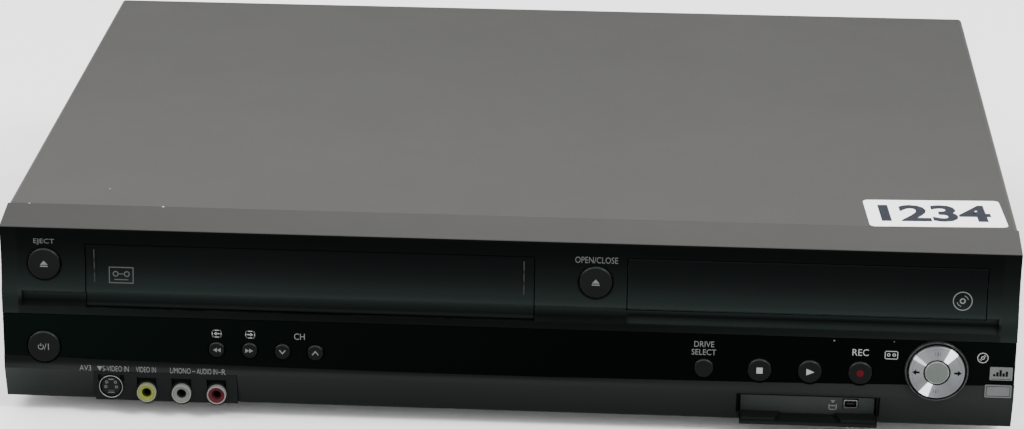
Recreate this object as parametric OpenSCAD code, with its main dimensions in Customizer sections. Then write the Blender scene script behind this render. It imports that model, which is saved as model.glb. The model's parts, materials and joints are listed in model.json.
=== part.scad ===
// Full-width disc and tape combination player.
// X is the width, Y runs from the fascia to the rear panel, Z is up, and Z = 0 is the underside of the feet.

/* [Case] */
// Width of the case and the fascia
body_w = 430; // [424:1:440]
// Depth from the fascia's front face to the back edge of the top cover
body_d = 336.3; // [334:0.1:345]
// Height of the feet under the fascia's bottom edge
foot_h = 7; // [5:0.5:9]
// Height of the fascia's front face
fascia_h = 79.1; // [79:0.1:80]
// Rise of the sloping top lip from its front edge to the cover
lip_rise = 3.3; // [3:0.1:3.5]
// Depth of the sloping top lip
lip_d = 21.2; // [21:0.1:22]
// Thickness of the cover's steel sheet
cover_t = 0.8; // [0.6:0.1:1]

/* [Front] */
// Clearance round the cassette door in its opening
door_gap = 0.4; // [0.3:0.05:0.6]
// Radius of the three largest push buttons
big_button_r = 7.0; // [6.5:0.1:7.2]
// Radius of the stop, play and record buttons
mid_button_r = 5.1; // [4.8:0.1:5.3]
// Radius of the four small tape and channel buttons
small_button_r = 3.4; // [3:0.1:3.6]
// Radius of the selector's dark bezel
bezel_r = 13.5; // [13:0.1:13.8]

/* [Mechanisms] */
// Outer radius of a phono jack's metal sleeve
phono_r = 4.15; // [4:0.05:4.2]
// Radius of a phono jack's centre contact hole
phono_hole_r = 1.6; // [1.5:0.05:1.7]
// Radius of the tape head drum
drum_r = 31; // [30:0.5:31]
// Radius of the seat for a disc in the tray
disc_seat_r = 60.5; // [60.2:0.1:61]

/* [Hidden] */

$fn = 64;
half_w = body_w / 2;
face_top = foot_h + fascia_h;        // front edge of the sloping lip
top_z = face_top + lip_rise;         // top of the cover
split_z = foot_h + 39.8;             // line between the upper and lower mouldings
flap_reach = 5.5;                    // how far the open flap stands in front of the fascia
socket_out = 2.2;                    // how far the rear sockets stand behind the cover
mid_y = (body_d + socket_out - flap_reach) / 2;
z7 = foot_h - 7;                     // shift of everything that hangs on the fascia

// x, z and radius of each push button, measured on the fascia's face
eject_at = [-196.4, 69.4];
open_at = [38.3, 68.2];
power_at = [-197.4, 32.0];
rewind_at = [-122.8, 32.9];
forward_at = [-108.6, 33.0];
ch_down_at = [-94.5, 32.9];
ch_up_at = [-80.4, 32.8];
select_at = [84.7, 31.4];
stop_at = [108.2, 31.2];
play_at = [129.3, 31.2];
record_at = [150.4, 31.3];
dial_at = [182.2, 33.6];
select_r = 4.1;

// axis of the cassette door's pins
door_axis = [2.9, 77.4];
// axis of the input flap's hinge
flap_axis = [4.52, 9.6];

module place() translate([0, -mid_y, z7]) children();
module along_x(x0, x1) translate([x0, 0, 0]) rotate([90, 0, 90]) linear_extrude(x1 - x0) children();
// cylinder along Y between y0 and y1, centred on x, z
module ycyl(x, z, r, y0, y1) translate([x, y1, z]) rotate([90, 0, 0]) cylinder(h = y1 - y0, r = r);
module xcyl(y, z, r, x0, x1) translate([x0, y, z]) rotate([0, 90, 0]) cylinder(h = x1 - x0, r = r);
module zcyl(x, y, r, z0, z1) translate([x, y, z0]) cylinder(h = z1 - z0, r = r);
module box(a, b) translate(a) cube([b[0] - a[0], b[1] - a[1], b[2] - a[2]]);
// rounded rectangle from a to b, drawn from squares and true arcs
module rrect(a, b, r) {
    translate([a[0] + r, a[1]]) square([b[0] - a[0] - 2 * r, b[1] - a[1]]);
    translate([a[0], a[1] + r]) square([b[0] - a[0], b[1] - a[1] - 2 * r]);
    for (x = [a[0] + r, b[0] - r]) for (y = [a[1] + r, b[1] - r]) translate([x, y]) circle(r = r);
}
function arc(cx, cy, r, a0, a1, n = 6) = [for (i = [0:n]) let (a = a0 + (a1 - a0) * i / n) [cx + r * cos(a), cy + r * sin(a)]];
// lower edge of the display window: a shallow bow, lowest near the middle
function bow(x) = 25.0 + 2.5 * pow(x / 214, 2);

// ---------- case ----------

module cover_section() {
    difference() {
        union() {
            rrect([-half_w, 60], [half_w, top_z - z7], 2.2);
            translate([-half_w, 8.6]) square([body_w, 60]);
        }
        rrect([-half_w + cover_t, 55], [half_w - cover_t, top_z - z7 - cover_t], 1.4);
        translate([-half_w + cover_t, 0]) square([body_w - 2 * cover_t, 62]);
    }
}

module top_cover() color("dimgray") {
    difference() {
        union() {
            translate([0, body_d, 0]) rotate([90, 0, 0]) linear_extrude(body_d - lip_d - 0.1) cover_section();
            // rear lip folded down over the rear panel
            box([-half_w + cover_t + 0.1, body_d - cover_t, 79], [half_w - cover_t - 0.1, body_d, top_z - z7 - cover_t + 0.01]);
        }
        // cooling slots low on both sides
        for (i = [0:13]) for (s = [-1, 1]) translate([s * half_w, 196 + i * 8, 0])
            box([-3, -1.6, 24], [3, 1.6, 46]);
        // screw holes
        for (s = [-1, 1]) for (y = [60, 290]) xcyl(y, 16, 1.7, s * half_w - 3, s * half_w + 3);
        for (x = [-190, 0, 190]) ycyl(x, 83.4, 1.7, body_d - 3, body_d + 1);
    }
}

module screw_head() {
    // pan head with a cross recess, pointing along +Z
    difference() {
        rotate_extrude() polygon(concat([[0, 0], [3, 0]], arc(1.9, 0.7, 1.1, 0, 90, 5), [[0, 1.8]]));
        for (a = [0, 90]) rotate(a) translate([-1.7, -0.35, 1.1]) cube([3.4, 0.7, 2]);
    }
    translate([0, 0, -5]) cylinder(h = 5.01, r = 1.5);
}

module cover_screws() color("black") {
    for (s = [-1, 1]) for (y = [60, 290]) translate([s * half_w, y, 16]) rotate([0, s * 90, 0]) screw_head();
    for (x = [-190, 0, 190]) translate([x, body_d, 83.4]) rotate([-90, 0, 0]) screw_head();
}

module chassis_base() color("silver") difference() {
    union() {
        box([-half_w + 1.6, lip_d + 0.4, 8], [half_w - 1.6, body_d - 3.4, 9]);
        for (s = [-1, 1]) translate([s * (half_w - 2.1), 0, 0]) box([-0.5, lip_d + 0.4, 9], [0.5, body_d - 3.4, 25]);
        box([-half_w + 6, lip_d + 0.4, 9], [half_w - 6, lip_d + 1.4, 13]);
        // posts under the boards
        for (p = [[46, 214], [200, 214], [46, 322], [104, 322], [-196, 250], [-70, 250], [-196, 322], [-70, 322]])
            zcyl(p[0], p[1], 3, 9, 17.9);
        // screw bosses under the deck and the disc drive
        for (p = [[-186, 44], [20, 44], [-186, 226], [20, 226]]) zcyl(p[0], p[1], 3.4, 9, 19.9);
    }
    for (s = [-1, 1]) for (y = [60, 290]) xcyl(y, 16, 1.6, s * half_w - 5, s * half_w + 5);
    // cooling slots in the floor
    for (x = [60:12:180]) for (y = [120, 240]) box([x, y, 7], [x + 4, y + 50, 10]);
    for (x = [-170:12:-90]) box([x, 262, 7], [x + 4, 312, 10]);
    for (p = foot_at) zcyl(p[0], p[1], 1.7, 7, 10);
}

foot_at = [[-178, 52], [178, 52], [-178, 296], [178, 296]];

module feet() color("black") for (p = foot_at) translate([p[0], p[1], 0]) difference() {
    rotate_extrude() polygon([[0, 3], [14, 3], [14, 1.2], [15.5, 1.2], [17.5, 2], [19.5, 7.0], [20, 7.6], [20, 7.95], [0, 7.95]]);
    translate([0, 0, 5.5]) cylinder(h = 4, r = 1.75);
}

module foot_pads() color("dimgray") for (p = foot_at) translate([p[0], p[1], -z7])
    rotate_extrude() polygon([[0, 0], [13, 0], [13.6, 0.6], [13.6, 2.95 + z7], [0, 2.95 + z7]]);

// centres of the sockets on the rear panel: x, z
inlet_at = [178, 30];
fan_at = [128, 47];
scart_at = [[44, 31], [44, 63]];
jack_at = [for (c = [0:3]) for (r = [0:1]) [-20 - 15 * c, 33 + 26 * r]];
aerial_at = [[-110, 33], [-110, 59]];

module rear_panel() color("darkgray") difference() {
    union() {
        box([-half_w + 1.6, body_d - 3.3, 8], [half_w - 1.6, body_d - 2.3, 87.4]);
        // folded edges
        box([-half_w + 1.6, body_d - 9.3, 86.4], [half_w - 1.6, body_d - 3.2, 87.4]);
        for (s = [-1, 1]) translate([s * (half_w - 3.3), 0, 0]) box([-0.5, body_d - 12, 26], [0.5, body_d - 3.2, 86.4]);
    }
    for (x = [-190, 0, 190]) ycyl(x, 83.4, 1.6, body_d - 5, body_d);
    translate([inlet_at[0], 0, inlet_at[1]]) box([-13.2, body_d - 6, -8.2], [13.2, body_d, 8.2]);
    // fan grille: ring slots
    difference() {
        ycyl(fan_at[0], fan_at[1], 18.5, body_d - 6, body_d);
        for (i = [0:2]) difference() {
            ycyl(fan_at[0], fan_at[1], 15.6 - 4.2 * i, body_d - 7, body_d + 1);
            ycyl(fan_at[0], fan_at[1], 14.2 - 4.2 * i, body_d - 8, body_d + 2);
        }
        for (a = [0:45:135]) translate([fan_at[0], 0, fan_at[1]]) rotate([0, a + 22.5, 0]) box([-19, body_d - 7, -0.9], [19, body_d + 1, 0.9]);
    }
    for (p = scart_at) translate([p[0], 0, p[1]]) box([-27.7, body_d - 6, -9.2], [27.7, body_d, 9.2]);
    for (z = [33, 59]) box([-72.5, body_d - 6, z - 8.7], [-12.5, body_d, z + 8.7]);
    for (p = aerial_at) ycyl(p[0], p[1], 6.2, body_d - 6, body_d);
    // vent slots
    for (x = [-190:7:-140]) box([x, body_d - 6, 40], [x + 3, body_d, 76]);
}

// ---------- fascia ----------

fascia_profile = [[lip_d, 89.4], [0.7, 86.25], [0.25, 86.05], [0, 85.6], [0.5, 83.6], [1.1, 79], [1.45, 74], [1.5, 69], [1.2, 64],
    [0.75, 60.5], [0.3, 58.6], [0.05, 58.0], [0, 57.4], [0, 46.9], [lip_d, 46.9]];

module front_fascia() color("#1c1c1c") difference() {
    union() {
        difference() {
            along_x(-half_w, half_w) polygon(fascia_profile);
            // hollow behind the 3 mm front wall
            along_x(-half_w + 2.5, half_w - 2.5) polygon([[lip_d + 9, 87.6], [lip_d, 86.6], [5.0, 84.2], [4.4, 83.6], [4.4, 49.3], [lip_d + 9, 49.3]]);
            box([-half_w + 2.5, 12, 40], [half_w - 2.5, 40, 50]);
            // grip groove with a sloping floor and an undercut top
            along_x(-206.4, 207) polygon([[-2, 57.7], [0.15, 57.5], [0.6, 57.0], [2.2, 56.1], [2.5, 55.6], [2.5, 53.2], [2.1, 52.3], [0.3, 50.3], [-2, 50.3]]);
        }
    }
    // cassette opening, tray opening, two buttons
    box([-178.5 - door_gap, -5, 50.5 - door_gap], [12.3 + door_gap, 12, 78.6 + door_gap]);
    box([51.4, -5, 55.6], [201.8, 12, 79.5]);
    ycyl(eject_at[0], eject_at[1], big_button_r + 0.35, -3, 8);
    ycyl(open_at[0], open_at[1], big_button_r + 0.35, -3, 8);
    // bores of the door's pins, in the opening's side edges
    xcyl(door_axis[0], door_axis[1], 0.96, -181.6, 15.4);
}

lower_profile = [[lip_d, 46.6], [2.2, 46.6], [2.2, 24], [0, 24], [0, 21.6], [0.1, 21.1], [4.2, 7.5], [4.7, 7], [lip_d, 7]];

module window_outline(inset) {
    polygon(concat([[half_w - inset, 46.6], [-half_w + inset, 46.6]],
        [for (i = [0:24]) let (x = -half_w + inset + (body_w - 2 * inset) * i / 24) [x, bow(x) + inset]]));
}

module lower_fascia() color("#222423") difference() {
    union() {
        difference() {
            along_x(-half_w, half_w) polygon([[lip_d, 46.6], [0, 46.6], [0, 21.6], [0.1, 21.1], [4.2, 7.5], [4.7, 7], [lip_d, 7]]);
            // seat of the window
            translate([0, 2.2, 0]) rotate([90, 0, 0]) linear_extrude(5) window_outline(0);
            // hollow
            along_x(-half_w + 2.5, half_w - 2.5) polygon([[lip_d + 9, 44.2], [4.8, 44.2], [4.8, 21.5], [8.2, 9.4], [lip_d + 9, 9.4]]);
            box([-half_w + 2.5, 12, 40], [half_w - 2.5, 40, 50]);
        }
        // pocket walls of the input recess
        box([96.5, 4.6, 8], [161.8, 9.6, 22.4]);
    }
    // input recess behind the flap
    box([99.8, -5, 8.4], [158.6, 7.4, 19.6]);
    xcyl(flap_axis[0], flap_axis[1], 0.68, 98.3, 160.1);
    box([144.2, 5, 11.8], [150.8, 12, 16.4]);
    // cut-out for the socket panel
    box([-176.3, -2, 6], [-114.3, 12, 21.3]);
    // display opening
    box([-58, 0, 29], [66, 12, 43.6]);
    for (b = [concat(power_at, big_button_r), concat(rewind_at, small_button_r), concat(forward_at, small_button_r),
        concat(ch_down_at, small_button_r), concat(ch_up_at, small_button_r), concat(select_at, select_r),
        concat(stop_at, mid_button_r), concat(play_at, mid_button_r), concat(record_at, mid_button_r)])
        ycyl(b[0], b[1], b[2] + 0.5, -2, 8);
    ycyl(dial_at[0], dial_at[1], 11.7, -2, 8);
}

module display_window() color("black") difference() {
    translate([0, 2.1, 0]) rotate([90, 0, 0]) linear_extrude(2.1) window_outline(0.12);
    for (b = [concat(power_at, big_button_r), concat(rewind_at, small_button_r), concat(forward_at, small_button_r),
        concat(ch_down_at, small_button_r), concat(ch_up_at, small_button_r), concat(select_at, select_r),
        concat(stop_at, mid_button_r), concat(play_at, mid_button_r), concat(record_at, mid_button_r)])
        ycyl(b[0], b[1], b[2] + 0.3, -2, 8);
    ycyl(dial_at[0], dial_at[1], 11.7, -2, 8);
}

module cassette_door() color("#202322") {
    along_x(-178.5, 12.3) polygon([[1.65, 78.4], [1.9, 78.6], [3.0, 78.6], [4.1, 77.6], [3.9, 66], [3.3, 57.6], [4.5, 54], [4.2, 50.5],
        [2.0, 50.5], [1.6, 50.9], [1.5, 51.7], [2.0, 52.5], [2.5, 53.4], [2.5, 54.9], [1.9, 56.1], [0.8, 57.3], [0.6, 58.0],
        [0.75, 58.7], [1.15, 60.4], [1.65, 64], [1.95, 69], [1.9, 74]]);
    // fine upright ribs near both ends
    for (x = [-175.2, 7.7]) box([x, 1.4, 60.2], [x + 0.7, 2.6, 76.6]);
    // pins
    xcyl(door_axis[0], door_axis[1], 0.9, -181.2, -178.4);
    xcyl(door_axis[0], door_axis[1], 0.9, 12.2, 15.0);
}

// ---------- disc tray ----------
drive_x = 126.6;
disc_y = 78;

module tray_front() color("#202322") {
    along_x(51.8, 201.4) polygon([[1.3, 79.1], [1.5, 74], [1.5, 69], [1.2, 64], [0.75, 60.6], [0.3, 58.7], [0.1, 58.0], [0.2, 57.3],
        [0.9, 56.7], [2.0, 56.0], [4.4, 56.0], [4.6, 60], [4.6, 79.1]]);
}

gear_m = 1.5;
gear_n = 16;
module gear_outline(n, m) {
    // slim teeth with wide backlash
    r = n * m / 2;
    circle(r = r - 1.5);
    for (i = [0:n - 1]) rotate(i * 360 / n) polygon([[r - 1.8, -1.25], [r, -0.85], [r + 1.2, -0.4], [r + 1.2, 0.4], [r, 0.85], [r - 1.8, 1.25]]);
}
rack_x = 87;               // pitch line of the tray's rack
gear_at = [rack_x - gear_m * gear_n / 2, 30];

module disc_tray() color("#2a2a2a") {
    difference() {
        union() {
            box([58, 4.7, 62.0], [195.2, 182, 66.6]);
            // rails
            for (x = [58, 192.6]) box([x, 12, 59.4], [x + 2.6, 182, 62.2]);
            // lugs that carry the front
            for (x = [62, 186]) box([x, 4.65, 60.5], [x + 6, 14, 70.2]);
        }
        // seat for a disc, a smaller seat, and the finger dips
        zcyl(drive_x, disc_y, disc_seat_r, 64.6, 70);
        zcyl(drive_x, disc_y, 40.5, 63.6, 70);
        // window for the turntable and the pickup, open at the back
        box([drive_x - 24, disc_y, 50], [drive_x + 24, 190, 70]);
        zcyl(drive_x, disc_y, 24, 50, 70);
    }
    // rack with teeth towards -X
    difference() {
        box([rack_x - 1.2, 20, 59.6], [rack_x + 3.25, 181, 62.05]);
        for (i = [-3:33]) translate([rack_x, gear_at[1] + i * PI * gear_m, 58])
            linear_extrude(5) polygon([[-3, -1.9], [-1.2, -1.9], [0, -1.5], [1.5, -1.05], [1.5, 1.05], [0, 1.5], [-1.2, 1.9], [-3, 1.9]]);
    }
}

module tray_gear() color("ivory") translate([gear_at[0], gear_at[1], 0]) {
    difference() {
        union() {
            translate([0, 0, 58.2]) linear_extrude(3.4) gear_outline(gear_n, gear_m);
            translate([0, 0, 53.6]) cylinder(h = 4.7, r = 6);
        }
        translate([0, 0, 50]) cylinder(h = 20, r = 1.55);
    }
}

module drive_frame() color("#3a3a3a") {
    difference() {
        box([52.6, 12, 44], [201.4, 196, 84]);
        box([55, 5, 46.4], [199, 193.6, 90]);
        // front and rear are open above the floor
        box([55, 5, 53], [199, 20, 90]);
        // hole under the traverse
        box([drive_x - 33, 42, 40], [drive_x + 33, 158, 50]);
        // cable slot
        box([90, 190, 60], [160, 200, 90]);
    }
    // guide shelves on the inner walls, under the tray's rails
    box([54.9, 24, 57], [61.3, 190, 59.2]);
    box([191.6, 24, 57], [199.1, 190, 59.2]);
    // post of the tray gear
    zcyl(gear_at[0], gear_at[1], 4, 46.3, 53.4);
    zcyl(gear_at[0], gear_at[1], 1.5, 53.3, 60.8);
    // clamp bridge over the disc
    difference() {
        box([54.9, disc_y - 18, 80.6], [199.1, disc_y + 18, 82.2]);
        zcyl(drive_x, disc_y, 8, 79, 84);
    }
    // legs down to the floor
    for (x = [56, 192]) for (y = [26, 176]) box([x, y, 9.1], [x + 6, y + 6, 44.1]);
}

module disc_clamp() color("#d8d6cf") difference() {
    union() {
        zcyl(drive_x, disc_y, 15, 67.6, 69.6);
        zcyl(drive_x, disc_y, 6.6, 69.5, 83.0);
        zcyl(drive_x, disc_y, 10.5, 82.5, 84);
    }
    // hollow for the turntable's cone
    zcyl(drive_x, disc_y, 8.0, 67, 68.9);
    zcyl(drive_x, disc_y, 3.4, 67, 73);
}

module traverse() color("#707274") {
    difference() {
        box([drive_x - 31, 44, 47], [drive_x + 31, 156, 50]);
        box([drive_x - 21, disc_y + 14, 46], [drive_x + 21, 150, 51]);
        zcyl(drive_x, disc_y, 2.6, 45, 52);
    }
    // two rods in their holders
    for (s = [-1, 1]) {
        ycyl(drive_x + s * 26, 54, 1.5, disc_y + 12, 154);
        for (y = [disc_y + 11, 150]) difference() {
            box([drive_x + s * 26 - 3, y, 49.9], [drive_x + s * 26 + 3, y + 4.5, 57]);
            ycyl(drive_x + s * 26, 54, 1.49, y - 1, y + 6);
        }
    }
    // spindle motor
    difference() {
        zcyl(drive_x, disc_y, 12.5, 49.9, 55.5);
        zcyl(drive_x, disc_y, 2.6, 45, 57);
    }
    // sled motor
    ycyl(drive_x - 22, 44.4, 3.8, 60, 84);
}

module turntable() color("silver") translate([drive_x, disc_y, 0]) {
    difference() {
        union() {
            translate([0, 0, 48.5]) cylinder(h = 8, r = 1.5);
            translate([0, 0, 56.2]) cylinder(h = 5.0, r = 11);
            translate([0, 0, 61.1]) rotate_extrude() polygon([[0, 0], [16, 0], [16, 1.4], [7.5, 1.4], [7.4, 2.6], [6.2, 3.6], [3, 3.8], [0, 3.8]]);
        }
    }
}

module pickup_sled() color("#c9a27a") {
    difference() {
        union() {
            box([drive_x - 19, 104, 52.2], [drive_x + 19, 130, 58.6]);
            for (x = [-29, 18]) box([drive_x + x, 106, 51.6], [drive_x + x + 11, 128, 56.9]);
            box([drive_x + 10, 108, 52.2], [drive_x + 28, 126, 56.0]);
        }
        for (s = [-1, 1]) ycyl(drive_x + s * 26, 54, 1.56, 100, 135);
        zcyl(drive_x, 117, 4.2, 57.2, 60);
    }
    // lens
    translate([drive_x, 117, 57.1]) rotate_extrude() polygon([[0, 0], [3.9, 0], [3.9, 1.6], [3.0, 2.0], [2.6, 2.3], [1.6, 2.7], [0, 2.9]]);
}

// ---------- push buttons ----------

// round key with a rounded rim, a guide collar behind the panel and a stem to its switch
module key(at, r, face_y) translate([at[0], 0, at[1]]) rotate([90, 0, 0]) rotate_extrude()
    polygon(concat([[0, -9.6], [2, -9.6], [2, -6.2], [r + 0.9, -6.2], [r + 0.9, -5.0], [r, -5.0]],
        arc(r - 0.7, -face_y - 0.7, 0.7, 0, 90, 6), [[r * 0.55, -face_y + 0.08], [0, -face_y + 0.12]]));

module eject_button() color("#232625") key(eject_at, big_button_r, 0.3);
module open_close_button() color("#232625") key(open_at, big_button_r, 0.3);
module power_button() color("#232625") key(power_at, big_button_r, -0.9);
module rewind_button() color("#2b2f2e") key(rewind_at, small_button_r, -0.9);
module forward_button() color("#2b2f2e") key(forward_at, small_button_r, -0.9);
module channel_down_button() color("#2b2f2e") key(ch_down_at, small_button_r, -0.9);
module channel_up_button() color("#2b2f2e") key(ch_up_at, small_button_r, -0.9);
module drive_select_button() color("#2b2f2e") key(select_at, select_r, -0.9);
module stop_button() color("#2b2f2e") key(stop_at, mid_button_r, -0.9);
module play_button() color("#2b2f2e") key(play_at, mid_button_r, -0.9);
module record_button() color("#2b2f2e") key(record_at, mid_button_r, -0.9);

module at_dial() translate([dial_at[0], 0, dial_at[1]]) rotate([90, 0, 0]) children();

module dial_bezel() color("#151515") at_dial() rotate_extrude()
    polygon([[bezel_r, 0.02], [bezel_r, 0.9], [bezel_r - 0.25, 1.5], [bezel_r - 0.6, 1.8], [bezel_r - 0.9, 1.8], [12.35, 1.3], [12.3, 0.25], [8.2, 0.25], [8.2, -6], [9.0, -6], [9.0, -0.9], [11.5, -0.9], [11.5, 0.02]]);

module dial_ring() color("silver") at_dial() {
    rotate_extrude() polygon(concat([[5.6, 0.95], [11.1, 0.95], [11.7, 1.3]], arc(11.1, 2.2, 0.6, 0, 90, 4), [[9.0, 3.0], [6.0, 3.1], [5.6, 2.9]]));
    // boss on the rocking axis, behind the cap
    difference() {
        translate([0, 0, -3.4]) cylinder(h = 4.4, r = 7.4);
        translate([0, 0, -4]) cylinder(h = 6, r = 5.6);
    }
}

module dial_cap() color("#b9bfae") at_dial() {
    rotate_extrude() polygon(concat([[0, -1.5]], [[4.9, -1.5], [4.9, 2.7]], arc(4.4, 2.7, 0.5, 0, 90, 4), [[0, 3.4]]));
    translate([0, 0, -14.95]) cylinder(h = 13.6, r = 3.4);
    // upright pin that the ring rocks on
    rotate([90, 0, 0]) translate([0, -4.5, -4.0]) cylinder(h = 8, r = 0.8);
}

module silver_plates() color("silver") {
    translate([0, -0.02, 0]) rotate([90, 0, 0]) linear_extrude(0.4) rrect([204.4, 30.0], [213.9, 36.0], 0.5);
    translate([0, -0.02, 0]) rotate([90, 0, 0]) linear_extrude(0.4) rrect([202.7, 22.1], [213.9, 27.9], 0.5);
}

module top_label() color("white") translate([181.2, 39.6, top_z - z7]) rotate(2.9) linear_extrude(0.15) rrect([-29.1, -16.6], [29.1, 16.6], 2.4);

// ---------- front sockets ----------

jack_x = [-153.6, -138.5, -123.3];
jack_z = 11.7;
svideo_at = [-168.9, 14.3];

module input_panel() color("#252827") difference() {
    union() {
        along_x(-176.1, -114.5) polygon([[0.1, 21.2], [2.6, 7.05], [6.0, 7.05], [6.0, 21.2]]);
        box([-176.1, 5.9, 9.6], [-114.5, 7.6, 24]);
        box([-178.5, 6.0, 18.6], [-112, 7.6, 24]);
    }
    for (x = jack_x) {
        ycyl(x, jack_z, phono_r + 0.1, -2, 9);
        box([x - 4.25, -2, jack_z], [x + 4.25, 3.6, 18.6]);
    }
    ycyl(svideo_at[0], svideo_at[1], 5.35, -2, 9);
    // corner reliefs round the upper half of the video socket
    for (s = [-1, 1]) box([svideo_at[0] + s * 4.8 - 0.9, -2, 16.6], [svideo_at[0] + s * 4.8 + 0.9, 2.2, 19.6]);
}

module svideo_socket() color("#b9bcbc") translate([svideo_at[0], 0, svideo_at[1]]) rotate([90, 0, 0]) {
    difference() {
        translate([0, 0, -12]) cylinder(h = 12.4, r = 5.2);
        translate([0, 0, -6]) cylinder(h = 8, r = 4.7);
    }
    // insulator with four pin holes and a key slot
    difference() {
        translate([0, 0, -6.1]) cylinder(h = 5.9, r = 4.3);
        for (p = [[-2.1, 0.2], [2.1, 0.2], [-1.7, 1.9], [1.7, 1.9]]) translate([p[0], p[1], -5]) cylinder(h = 7, r = 0.55);
        translate([-1.2, -2.9, -5]) cube([2.4, 1.0, 7]);
        translate([-0.8, 3.1, -5]) cube([1.6, 1.4, 7]);
    }
}

module phono(x) translate([x, 0, jack_z]) rotate([90, 0, 0]) {
    // metal sleeve and coloured insulator as one turned piece with its contact bore
    rotate_extrude() polygon(concat([[phono_hole_r, -9]], [[phono_hole_r, -0.9], [phono_hole_r + 0.4, -0.3], [2.9, -0.3], [3.05, 0.3]],
        [[3.3, 0.6], [phono_r - 0.35, 0.6], [phono_r, 0.25], [phono_r, -11.9], [2.9, -11.9], [2.9, -10.4], [phono_hole_r, -10.4]]));
}
module video_jack() color("yellow") phono(jack_x[0]);
module audio_jack_left() color("white") phono(jack_x[1]);
module audio_jack_right() color("crimson") phono(jack_x[2]);

module input_flap() color("#202322") {
    y1 = flap_axis[0];
    z1 = flap_axis[1];
    difference() {
        union() {
            box([100.2, y1 - 10.0, z1 - 0.9], [158.2, y1, z1 + 0.5]);
            xcyl(y1, z1, 0.9, 100.2, 158.2);
            // stiffening blocks on the inner face, one with a slanted end
            translate([0, 0, z1 + 0.4]) linear_extrude(1.5) polygon([[101.0, y1 - 9.0], [115.0, y1 - 9.0], [117.4, y1 - 1.6], [101.0, y1 - 1.6]]);
            translate([0, 0, z1 + 0.4]) linear_extrude(1.5) polygon([[143.0, y1 - 9.0], [157.4, y1 - 9.0], [157.4, y1 - 1.6], [140.6, y1 - 1.6]]);
        }
        box([118, y1 - 0.4, z1 + 0.35], [140, y1 + 2, z1 + 2]);
    }
    xcyl(y1, z1, 0.6, 98.7, 100.3);
    xcyl(y1, z1, 0.6, 158.1, 159.7);
}

module dv_socket() color("#9a9c9c") difference() {
    translate([0, 11.5, 0]) rotate([90, 0, 0]) linear_extrude(4.9) rrect([144.5, 12.1], [150.5, 16.1], 0.7);
    translate([0, 10, 0]) rotate([90, 0, 0]) linear_extrude(8) rrect([145.1, 12.7], [149.9, 15.5], 0.4);
}

// ---------- boards behind the fascia ----------

switches = [eject_at, open_at, power_at, rewind_at, forward_at, ch_down_at, ch_up_at, select_at, stop_at, play_at, record_at];

module button_board() color("#7a5a2e") {
    difference() {
        union() {
            box([-207, 15, 24.4], [207, 16.6, 44]);
            box([-207, 15, 43.9], [-187.5, 16.6, 80]);
            box([28, 15, 43.9], [48.6, 16.6, 78]);
        }
        // cut for the left-hand jacks' leads
        box([-150, 14, 20], [-118, 18, 28]);
    }
    for (s = switches) {
        box([s[0] - 3, 12.0, s[1] - 3], [s[0] + 3, 15.05, s[1] + 3]);
        ycyl(s[0], s[1], 1.7, 10.6, 12.05);
    }
}

module display_tube() color("#2f4a46") difference() {
    box([-56, 5.4, 30], [64, 11.4, 42.6]);
    box([-53, 5.0, 31.6], [61, 5.9, 41]);
}

module chip(x, y, z, a, b, h) box([x - a / 2, y - b / 2, z], [x + a / 2, y + b / 2, z + h]);

module main_board() color("darkgreen") difference() {
    union() {
        box([34, 204, 18], [206, 330, 19.6]);
        chip(140, 262, 19.5, 28, 28, 2.4);
        chip(100, 236, 19.5, 18, 12, 1.6);
        chip(100, 290, 19.5, 22, 10, 1.6);
        chip(70, 256, 19.5, 14, 14, 1.6);
        chip(180, 236, 19.5, 20, 8, 1.6);
        // heat sink fins on the large chip
        for (i = [-3:3]) box([140 + i * 4 - 0.7, 249, 21.8], [140 + i * 4 + 0.7, 275, 30]);
        for (i = [0:5]) zcyl(56 + 9 * i, 216, 3.1, 19.5, 28);
        box([60, 208, 19.5], [110, 211, 24]);
    }
    // clear of the fan
    box([104, 313, 10], [152, 340, 40]);
}

module power_board() color("#8a6a3c") {
    box([-204, 242, 18], [-62, 330, 19.6]);
    // transformer
    chip(-120, 268, 19.5, 34, 30, 6);
    chip(-120, 268, 25.4, 24, 34, 18);
    chip(-120, 268, 43.3, 34, 30, 5);
    // capacitors
    zcyl(-170, 270, 11, 19.5, 52);
    zcyl(-148, 258, 6, 19.5, 40);
    for (i = [0:3]) zcyl(-90 + 8 * (i % 2) * 2, 256 + 14 * i, 5, 19.5, 34);
    // heat sinks
    for (x = [-190, -152]) {
        box([x, 296, 19.5], [x + 1.6, 322, 56]);
        for (i = [0:3]) box([x + 1.5, 298 + 7 * i, 26], [x + 9, 299.2 + 7 * i, 56]);
    }
}

// ---------- rear sockets ----------

module mains_inlet() color("#1a1a1a") translate([inlet_at[0], body_d - 2.3, inlet_at[1]]) difference() {
    union() {
        box([-13, -20, -8], [13, 0.8, 8]);
        box([-15.5, 0.05, -10], [15.5, 2.0, 10]);
    }
    translate([0, 3, 0]) rotate([90, 0, 0]) linear_extrude(16) {
        for (s = [-1, 1]) translate([s * 4.3, 0]) circle(r = 4.6);
        square([8.6, 9.2], center = true);
    }
}

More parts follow.
